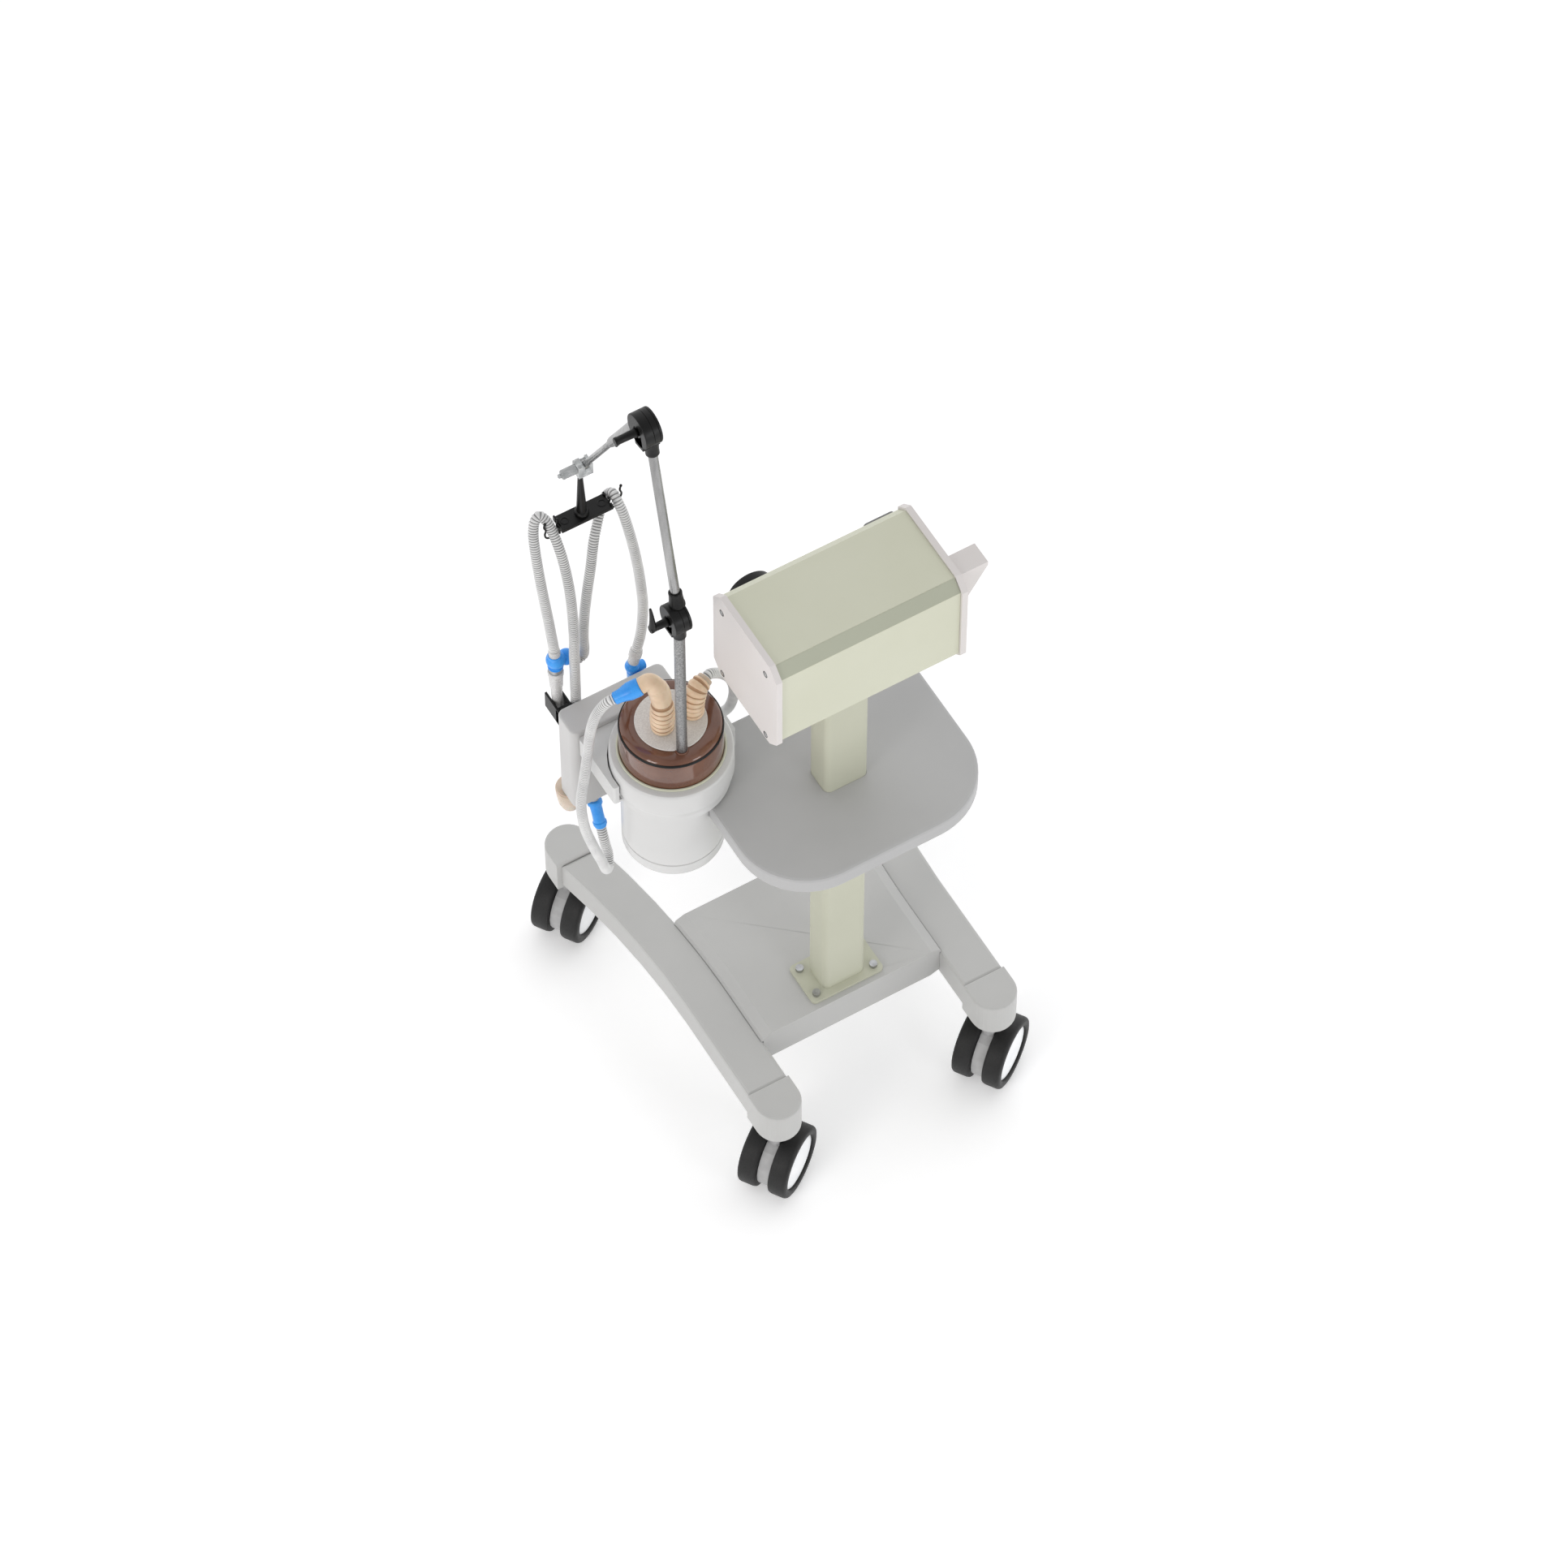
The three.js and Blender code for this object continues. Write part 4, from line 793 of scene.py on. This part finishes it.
boss = [(8.9, 899), (10.8, 899), (10.9, 942.6), (10.3, 943.6), (8.9, 943.6)]
piece("pole_boss", Shell().turned(boss, (*POLE, 0), sides=40, closed=True), "amber_chamber", "stand")
plate = [(0.5, 941.3), (54.4, 941.3), (55, 942), (55, 943.2), (54.2, 944), (0.5, 944)]
piece("chamber_plate", Shell().turned(plate, MIDDLE, sides=96), "white_disc", "stand", ["chamber_disc"])
collar = [(9, 944.1), (16.4, 944.1), (17, 944.8), (17, 946.2), (15.6, 947.4), (9, 947.4)]
collars = Shell()
for foot in ELBOW_FEET:
    collars.turned(collar, (*foot, 0), sides=40, closed=True)
piece("elbow_seats", collars, "beige_plastic", "stand")

cup = [
    (4, 601), (11, 602.6), (14, 606), (18, 617), (20.6, 633), (22, 649), (22, 653), (20.8, 654),
    (20.8, 656.7), (4, 656.7),
]
piece("drip_cup_body", Shell().turned(cup, (321, -264, 0), sides=40), "beige_plastic", "stand", ["drip_cup"])

# ---------------------------------------------------------------- the support arm

KNUCKLE_1_Z, KNUCKLE_2_Z = 1292, 1667
KNUCKLE_1_RADIUS, KNUCKLE_2_RADIUS = 25, 28
LOWER_RADIUS, UPPER_RADIUS, FOREARM_RADIUS = 8.5, 7.25, 8
LEAN = math.radians(11.65)  # of the upper pole, forwards
DIP = math.radians(61.4)  # of the forearm, below level
ASIDE = 15.5  # from knuckle 2's axis to the forearm's
FOREARM_LENGTH = 382  # to the middle of its eye
ALONG_X, UP = Vector((1, 0, 0)), Vector((0, 0, 1))


def arm_way(lean):
    """The direction at an angle from upright, in the plane that the arm moves in."""
    return Vector((0, -math.sin(lean), math.cos(lean)))


K1 = Vector((*POLE, KNUCKLE_1_Z))
ARM_WAY = arm_way(LEAN)
K2 = K1 + ARM_WAY * ((KNUCKLE_2_Z - KNUCKLE_1_Z) / math.cos(LEAN))
FOREARM_WAY = arm_way(math.pi / 2 + DIP)
FOREARM_SIDE = Vector((0, math.cos(math.pi / 2 + DIP), math.sin(math.pi / 2 + DIP))) * ASIDE

lower = [(7.9, 905), (LOWER_RADIUS, 905.6), (LOWER_RADIUS, 1261), (7.9, 1261.2)]
piece("lower_pole_tube", Shell().turned(lower, (*POLE, 0), sides=40), "zinc_tube", "pole", ["lower_pole"])
reach = (K2 - K1).length
upper = [(6.8, 30.9), (UPPER_RADIUS, 31.3), (UPPER_RADIUS, reach - 34), (6.8, reach - 33.8)]
piece("upper_pole_tube", Shell().turned(upper, K1, ARM_WAY, 40), "bright_steel", "upper_arm", ["upper_pole"])

fore = [
    (7.6, 30), (FOREARM_RADIUS, 30.6), (FOREARM_RADIUS, 196), (7.6, 201), (6.6, 207), (5.4, 212),
    (5, 216), (5, 352), (5, 356), (4.4, 360), (4, 362),
]
eye = [(2.7, -4), (6.4, -4), (7, -3.4), (7, 3.4), (6.4, 4), (2.7, 4)]
fore_shell = Shell().turned(fore, K2 + FOREARM_SIDE, FOREARM_WAY, 32)
tip = K2 + FOREARM_SIDE + FOREARM_WAY * FOREARM_LENGTH
fore_shell.turned(eye, tip, ALONG_X, 32, closed=True)
across_arm = FOREARM_WAY.cross(ALONG_X)
neck = []
for back_off, wide, deep in ((24, 4, 4), (16.8, 4, 4.4), (6, 4, 4.5)):
    centre = tip - FOREARM_WAY * back_off
    corners = ((-wide, -deep), (wide, -deep), (wide, deep), (-wide, deep))
    neck.append([centre + ALONG_X * u + across_arm * v for u, v in corners])
fore_shell.loft(neck)
piece("forearm_tube", fore_shell, "bright_steel", "forearm", ["forearm"])


def lever(number, centre, handle, horn, horn_radius, lean):
    """A clamping handle along X and the horn at its end, which leans a little along Y."""
    near = 19.3
    end = near + handle
    profile = [
        (4, -8), (4, near - 1), (6.6, near - 0.6), (7.4, near + 1), (7.4, near + 4),
        (6.5, near + 5.5), (6.1, near + handle * 0.6), (6, end - 6), (6.6, end - 4.4),
        (6.6, end - 1.4), (5.8, end - 0.2), (3, end),
    ]
    shell = Shell().turned(profile, centre, ALONG_X, 32)
    root = centre + ALONG_X * (end - 5)
    bends = ((0, 0, 0), (0.4, 0, horn * 0.35), (1.2, lean * 0.4, horn * 0.7), (2.4, lean, horn))
    line, distance = smooth_line([root + Vector(bend) for bend in bends], 1.2)
    radii = [horn_radius - (horn_radius - 1.9) * (d / distance[-1]) ** 0.8 for d in distance]
    radii[-1] = 1.2
    shell.tube(line, radii, 20)
    node = f"knuckle_{number}_lever"
    piece(f"clamp_lever_{number}", shell, "black_plastic", f"lever_{number}", [node], smooth=40)


lever(1, K1, handle=29.7, horn=50, horn_radius=6.4, lean=-1.5)
lever(2, K2, handle=35.7, horn=-12, horn_radius=4.6, lean=0)

SOCKET = 24
# Where the parts of a knuckle start and end along its axis.
FAR_CHEEK, NEAR_CHEEK, BRIDGE, TONGUE = (-9, -4.9), (4.9, 19), (-9, 19), (-4.6, 4.6)


def socket_profile(start, radius):
    """A tapered socket with a collar at its mouth and a foot that widens into the drum."""
    end = start + SOCKET
    return [
        (radius, start - 3), (12.6, start - 3), (12.4, start + 1), (11.4, start + 4),
        (10.6, start + 12), (10.2, end - 6), (10.4, end - 5), (10.4, end - 1.2), (9.6, end),
        (radius, end),
    ]


def fork(number, centre, radius, way, tube, body):
    """Two discs with a socket for the tube that comes in."""
    near_disc = [
        (3, 4.9), (radius, 4.9), (radius, 17.2), (radius - 0.5, 18.4), (radius - 1.7, 19),
        (9.5, 19), (8.5, 18.2), (8.5, 17.6), (3, 17.6),
    ]
    far_disc = [(3, -4.9), (radius, -4.9), (radius, -7.6), (radius - 0.4, -8.5), (radius - 1.4, -9), (3, -9)]
    shell = Shell()
    for profile in (near_disc, far_disc):
        shell.turned(profile, centre, ALONG_X, 64)
    start = radius + 1.5
    widths = ((2, 12), (radius - 3, 12), (start + 1, 11.4))
    for cheek in (FAR_CHEEK, NEAR_CHEEK):
        shell.loft([bridge_ring(centre, way, *cheek, height, half) for height, half in widths])
    shell.loft([bridge_ring(centre, way, *BRIDGE, height, 11.4) for height in (radius + 0.8, start + 1.4)])
    shell.turned(socket_profile(start, tube + 0.3), centre, way, 40, closed=True)
    node = f"knuckle_{number}_fork"
    piece(f"knuckle_{number}_discs", shell, "black_plastic", body, [node], smooth=34, bevel=0.5)


def tongue(number, centre, radius, way, tube, body, aside=None):
    """The disc between the fork's, with a socket for the tube that goes out, set aside or not."""
    low, high = TONGUE
    disc = [(4.7, low), (radius - 0.6, low), (radius, -4), (radius, 4), (radius - 0.6, high), (4.7, high)]
    shell = Shell().turned(disc, centre, ALONG_X, 64, closed=True)
    start = radius + 1.5
    if aside:
        start = math.sqrt(start**2 - (aside.length - 10) ** 2)
        centre = centre + aside
    shell.loft([bridge_ring(centre, way, low, high, height, 9) for height in (3, start - 3, start + 2)])
    shell.turned(socket_profile(start, tube + 0.3), centre, way, 40, closed=True)
    node = f"knuckle_{number}_tongue"
    piece(f"knuckle_{number}_middle", shell, "black_plastic", body, [node], smooth=34, bevel=0.4)


def bridge_ring(centre, way, low, high, height, half):
    """A rectangle square to a tube's way, from low to high along X."""
    side = way.cross(ALONG_X)
    corners = ((low, -half), (high, -half), (high, half), (low, half))
    return [centre + way * height + ALONG_X * x + side * s for x, s in corners]


fork(1, K1, KNUCKLE_1_RADIUS, -UP, LOWER_RADIUS, "pole")
tongue(1, K1, KNUCKLE_1_RADIUS, ARM_WAY, UPPER_RADIUS, "upper_arm")
fork(2, K2, KNUCKLE_2_RADIUS, -ARM_WAY, UPPER_RADIUS, "upper_arm")
tongue(2, K2, KNUCKLE_2_RADIUS, FOREARM_WAY, FOREARM_RADIUS, "forearm", FOREARM_SIDE)

# The holder: a bar with hollow ends, a cone post, and two thin wavy springs round the hoses.
BAR_TOP, BAR_BOTTOM = 1223, 1216.5
BAR_HALF, END_GAP = 14.5, 8.2
BAR_ENDS = ((193, 196), (277, 280))
TIP_Y = tip.y
holder = Shell()
holder.block((196, TIP_Y - BAR_HALF, BAR_BOTTOM), (277, TIP_Y + BAR_HALF, BAR_TOP))
for x0, x1 in BAR_ENDS:
    for y0, y1, rise in ((-BAR_HALF, -END_GAP, 4), (END_GAP, BAR_HALF, 4), (-END_GAP, END_GAP, -2.5)):
        holder.block((x0, TIP_Y + y0, BAR_BOTTOM), (x1, TIP_Y + y1, BAR_TOP + rise))
piece("holder_bar", holder, "black_plastic", "holder", ["hose_holder"], bevel=0.6)
hole_rim = [
    (5.2, BAR_TOP - 0.5), (6.8, BAR_TOP - 0.5), (6.8, BAR_TOP + 0.5), (6.2, BAR_TOP + 0.9),
    (5.2, BAR_TOP + 0.9),
]
hole_rims = Shell()
for x in (205, 268):
    hole_rims.turned(hole_rim, (x, TIP_Y, 0), sides=28, closed=True)
piece("holder_sockets", hole_rims, "black_plastic", "holder")
post = [
    (3.1, 1331), (3.1, 1323), (3.6, 1322.6), (4.1, 1312), (8, 1231), (9, 1230.4), (10, 1229.4),
    (11, 1226.6), (11, 1223.2), (11, 1221),
]
piece("holder_post", Shell().turned(post, (239, TIP_Y, 0), sides=40), "black_plastic", "holder", smooth=40)

SPRINGS = [
    [(279, 1212), (281.2, 1221), (279.6, 1230), (280.6, 1237)],
    [
        (280, 1204), (287, 1199.6), (294, 1198.4), (299.4, 1202), (301.6, 1211), (299.6, 1220),
        (302.4, 1229), (300.4, 1239),
    ],
    [(194, 1212), (191.6, 1221), (193.4, 1230)],
    [
        (193, 1204), (186, 1199.6), (178, 1199), (172.4, 1205), (173.4, 1215), (171.4, 1225),
        (173.8, 1235), (171.6, 1246),
    ],
]


def add_spring(shell, points, radius=1.6):
    """A wavy wire in the plane of the bar, with a bead at its free end."""
    line, distance = smooth_line([(x, TIP_Y, z) for x, z in points], 1.0)
    radii = [radius * (1.35 if d > distance[-1] - 3.2 else 1) for d in distance]
    radii[0] = radii[-1] = radius * 0.6
    shell.tube(line, radii, 12)


springs = Shell()
for points in SPRINGS:
    add_spring(springs, points)
for x0, x1 in ((277, 281), (192, 196)):
    springs.block((x0, TIP_Y - 4, 1202), (x1, TIP_Y + 4, 1217))
piece("holder_springs", springs, "black_plastic", "holder", smooth=50)


def knob_wave(lobes, depth, low, high):
    """A grip of shallow lobes between two heights."""
    return lambda angle, height: 1 + (depth * math.cos(lobes * angle) if low < height < high else 0)


# The clamp's knob and the end of its screw, beside the clear block.
grip = [(5, 0), (7, 0.4), (7.5, 1.6), (7.4, 22), (6.8, 23.2), (4, 23.4), (3.6, 24.5), (3.4, 28), (2, 29)]
grip_shell = Shell().turned(grip, tip + ALONG_X * 15.7, ALONG_X, 72, wave=knob_wave(18, 0.035, 1, 22.5))
piece("clamp_knob", grip_shell, "clear_plastic", "holder", smooth=50)

# ---------------------------------------------------------------- the casters

FLOOR = -11
CASTER_TURN = math.radians(34)
TRAIL = 2.2
AXLE = 62.5  # above the floor
HALF = 42  # of the width over both tyres
INNER = 11  # of the gap between them
CASTERS = {
    "rear_left": (197, 152),
    "rear_right": (-197, 152),
    "front_left": (244, -426),
    "front_right": (-244, -426),
}
TYRE = [
    (47, INNER), (58.4, INNER), (60.6, INNER + 1), (61.4, INNER + 3), (62, INNER + 6),
    (62, HALF - 6), (61.4, HALF - 3.4), (60, HALF - 1.4), (57.8, HALF - 0.5), (49, HALF - 0.5),
    (47.6, HALF - 1.6), (47, HALF - 4.5),
]
SIDEWALL = [
    (49.4, HALF - 0.6), (57, HALF - 0.6), (57.4, HALF - 0.25), (56.8, HALF), (50, HALF),
    (49.4, HALF - 0.3),
]
HUB = [
    (46.8, INNER + 2), (46.8, HALF - 5), (45.6, HALF - 4.2), (40, HALF - 3), (30, HALF - 1.7),
    (18, HALF - 0.8), (7, HALF - 0.3), (1, HALF - 0.2),
]
for name, (x, y) in CASTERS.items():
    centre = Vector((x + TRAIL * math.cos(CASTER_TURN), y + TRAIL * math.sin(CASTER_TURN), AXLE + FLOOR))
    axle = Vector((-math.sin(CASTER_TURN), math.cos(CASTER_TURN), 0))
    tyres, walls, hubs = Shell(), Shell(), Shell()
    for side in (-1, 1):
        tyres.turned(TYRE, centre, axle * side, 96, closed=True)
        walls.turned(SIDEWALL, centre, axle * side, 96, closed=True)
        hubs.turned(HUB, centre, axle * side, 72)
    hubs.turned([(5, -13.5), (5, 13.5)], centre, axle, 24)
    piece(f"{name}_tyres", tyres, "tyre_rubber", f"wheels_{name}", [f"caster_{name}_wheels"], smooth=40)
    piece(f"{name}_sidewalls", walls, "sidewall", f"wheels_{name}", smooth=40)
    piece(f"{name}_hubs", hubs, "hub_white", f"wheels_{name}", smooth=50)

# ---------------------------------------------------------------- the head's screws and controls

SIDE_FACE = 161.6
screw_rim = [(4.2, 0), (5.6, 0), (5.6, 0.7), (5.0, 0.9), (4.2, 0.5)]
screw_head = [(4.1, 0), (4.1, 0.5), (3.2, 0.9), (1.2, 1.1)]
screws, rims = Shell(), Shell()
for side in (-1, 1):
    for y in (-66, 59):
        for z in (1253, 1096):
            seat = (side * SIDE_FACE, y, z)
            rims.turned(screw_rim, seat, (side, 0, 0), 32, closed=True)
            screws.turned(screw_head, seat, (side, 0, 0), 32)
piece("side_screws", screws, "zinc_plate", "stand")
piece("side_screw_rims", rims, "black_plastic", "stand")

# The cover's folded rear edge, under a thin sheet of darker coat that is painted shade.
fold = Shell()
outward = Vector((0, 1, 1)).normalized()
low_edge, high_edge = Vector((0, 86.6, 1264.6)), Vector((0, 69.6, 1281.6))
ring_of_fold = [low_edge, high_edge, high_edge + outward * 0.5, low_edge + outward * 0.5]
COVER_HALF = 151.4
fold.loft([[point + ALONG_X * x for point in ring_of_fold] for x in (-COVER_HALF, COVER_HALF)])
piece("cover_fold_painted_shade", fold, "cream_fold_painted_shade", "stand")

FACE = -87.3
TO_FRONT = (0, -1, 0)
GAUGE = Vector((88, FACE, 1202))
gauge = [
    (4, 0), (34, 0), (35.4, 0.6), (36, 2), (36, 26.5), (35.2, 28.4), (33.6, 29.6), (32, 30),
    (30.6, 29.2), (30, 27.2), (29.6, 26.8), (4, 26.8),
]
gauge_shell = Shell().turned(gauge, GAUGE, TO_FRONT, 72)
piece("gauge_case", gauge_shell, "black_plastic", "stand", ["pressure_gauge"])
dial = Shell().turned([(2, 26.85), (29.4, 26.85), (29.4, 27.1), (2, 27.1)], GAUGE, TO_FRONT, 64)
piece("gauge_dial", dial, "white_disc", "stand")


def raised_mark(shell, corners, height):
    """A thin mark that stands out towards the front."""
    shell.loft([corners, [corner - Vector((0, height, 0)) for corner in corners]])


DIAL_FACE = GAUGE - Vector((0, 27.1, 0))
marks = Shell()
for i in range(11):
    angle = math.radians(225 - 27 * i)
    away = Vector((math.cos(angle), 0, math.sin(angle)))
    sideways = Vector((-away.z, 0, away.x)) * 0.5
    foot, end = DIAL_FACE + away * 21, DIAL_FACE + away * 26.5
    raised_mark(marks, [foot - sideways, foot + sideways, end + sideways, end - sideways], 0.25)
needle_foot = DIAL_FACE - Vector((0, 0.5, 0))
needle_end = needle_foot + Vector((-13, 0, 16))
wide = Vector((0.78, 0, 0.63)) * 0.8
slim = wide * 0.3
raised_mark(marks, [needle_foot - wide, needle_foot + wide, needle_end + slim, needle_end - slim], 0.5)
marks.turned([(0.6, 27), (3, 27), (3, 28.8), (0.6, 29)], GAUGE, TO_FRONT, 24)
piece("gauge_marks", marks, "black_plastic", "stand")

knob_profile = [
    (4, -16), (4, 1), (19, 1), (19.4, 1.6), (19.4, 4.6), (18.6, 5.2), (15.4, 7.6), (14.4, 18.6),
    (13.4, 21), (11.6, 22), (3, 22),
]
knob_shell = Shell().turned(knob_profile, (-50, -87, 1169), TO_FRONT, 96, wave=knob_wave(24, 0.03, 8, 20))
piece("knob_grip", knob_shell, "black_plastic", "knob", ["control_knob"], smooth=45)
button = [(10.5, -12), (10.5, -8.2), (8, -8), (8, 4.4), (7.5, 5.5), (6.4, 6), (2, 6)]
button_shell = Shell().turned(button, (-5, -87, 1168), TO_FRONT, 48)
piece("button_cap", button_shell, "button_blue", "button", ["start_button"])

KEY_WIDTH, KEY_HEIGHT, KEY_PITCH = 14, 12, 20
KEY_EDGE = 0.8


def key_outline(x, z, inset, height):
    """The corners of a key at a height above the face, drawn in by an inset."""
    left, right = x + inset, x + KEY_WIDTH - inset
    low, high = z + inset, z + KEY_HEIGHT - inset
    return [(u, FACE - height, v) for u, v in ((left, low), (right, low), (right, high), (left, high))]


keys = Shell()
for row in range(5):
    for column in range(2):
        x, z = -137 + column * KEY_PITCH, 1142 + row * KEY_PITCH
        keys.loft([key_outline(x, z, *level) for level in ((0, 11.9), (0, 13), (KEY_EDGE, 13.6))])
piece("panel_keys", keys, "white_plastic", "stand")
glass = Shell().block((-78.6, FACE - 4.2, 1194.4), (31.6, FACE - 3.1, 1245.6))
piece("display_glass", glass, "screen", "stand", bevel=0.3)

# ---------------------------------------------------------------- the CAD pieces whose shape is right

slots = {part["node"]: part["material_slot"] for part in frame["record"]["subparts"]}
OTHER_LOOK = {"shelf": "shelf_grey", "column": "column_cream"}
EDGE = 0.8
EASED = {
    "shelf": 1.2,
    "base_plate": 1.2,
    "control_box": 1.2,
    "cradle": 1.6,
    "column": 0.6,
    "gas_inlet": 2.0,
    "head_rear_top_cover": 0.5,
}
for name, node in frame["nodes"].items():
    if not node.hide_render:
        look = OTHER_LOOK.get(name, slots[name])
        dress(node, look, 30, EASED.get(name, EDGE))

# ---------------------------------------------------------------- floor and light

floor_material = material(
    "pale_floor",
    grey(248),
    grey(252),
    (0.7, 0.8),
    patch=2,
    grain=60,
    bump=0.0,
    Emission_Color=(1, 1, 1, 1),
    Emission_Strength=0.24,
)
FLOOR_HALF, FLOOR_THICK, FLOOR_GAP = 60000, 9.7, 0.3
floor = Shell().block(
    (-FLOOR_HALF, -FLOOR_HALF, FLOOR - FLOOR_GAP - FLOOR_THICK), (FLOOR_HALF, FLOOR_HALF, FLOOR - FLOOR_GAP)
)
floor_mesh = bpy.data.meshes.new("floor")
floor_mesh.from_pydata(metres(floor.points), [], floor.faces)
turn_outwards(floor_mesh)
floor_object = bpy.data.objects.new("floor", floor_mesh)
scene.collection.objects.link(floor_object)
floor_mesh.materials.append(floor_material)

# A white studio that grows dimmer high up over the object's rear, round this direction.
DIM_SIDE = (0.278, 0.471, 0.837)
DIM_FROM, DIM_TO = 0.25, 0.85  # the cosines to that direction between which it grows dimmer
BRIGHT, DIM = 1.14, 0.55
world = bpy.data.worlds.new("studio")
scene.world = world
world.use_nodes = True
sky = world.node_tree
way = sky.nodes.new("ShaderNodeTexCoord")
towards = sky.nodes.new("ShaderNodeVectorMath")
towards.operation = "DOT_PRODUCT"
towards.inputs[1].default_value = DIM_SIDE
link(sky, way.outputs["Generated"], towards.inputs[0])
fall = sky.nodes.new("ShaderNodeValToRGB")
fall.color_ramp.interpolation = "EASE"
fall.color_ramp.elements[0].position = DIM_FROM
fall.color_ramp.elements[0].color = (BRIGHT, BRIGHT, BRIGHT * 1.01, 1)
fall.color_ramp.elements[1].position = DIM_TO
fall.color_ramp.elements[1].color = (DIM, DIM, DIM, 1)
link(sky, towards.outputs["Value"], fall.inputs["Fac"])
link(sky, fall.outputs["Color"], sky.nodes["Background"].inputs["Color"])
sky.nodes["Background"].inputs["Strength"].default_value = 1.0


BOX_SIZE = (0.9, 1.3)


def softbox(name, place, target, power, colour):
    """A rectangular lamp, placed in metres, that faces a target."""
    data = bpy.data.lights.new(name, "AREA")
    data.shape = "RECTANGLE"
    data.size, data.size_y = BOX_SIZE
    data.energy = power
    data.color = colour
    lamp = bpy.data.objects.new(name, data)
    scene.collection.objects.link(lamp)
    lamp.location = place
    lamp.rotation_euler = (Vector(target) - Vector(place)).to_track_quat("-Z", "Y").to_euler()


softbox("side", (2.8, 1.2, 2.0), (0, 0, 0.8), 18, (1.0, 0.96, 0.94))
softbox("rear", (-0.8, 3.2, 2.2), (0, 0, 0.7), 14, (0.97, 0.98, 1.0))
scene.view_settings.view_transform = "Standard"
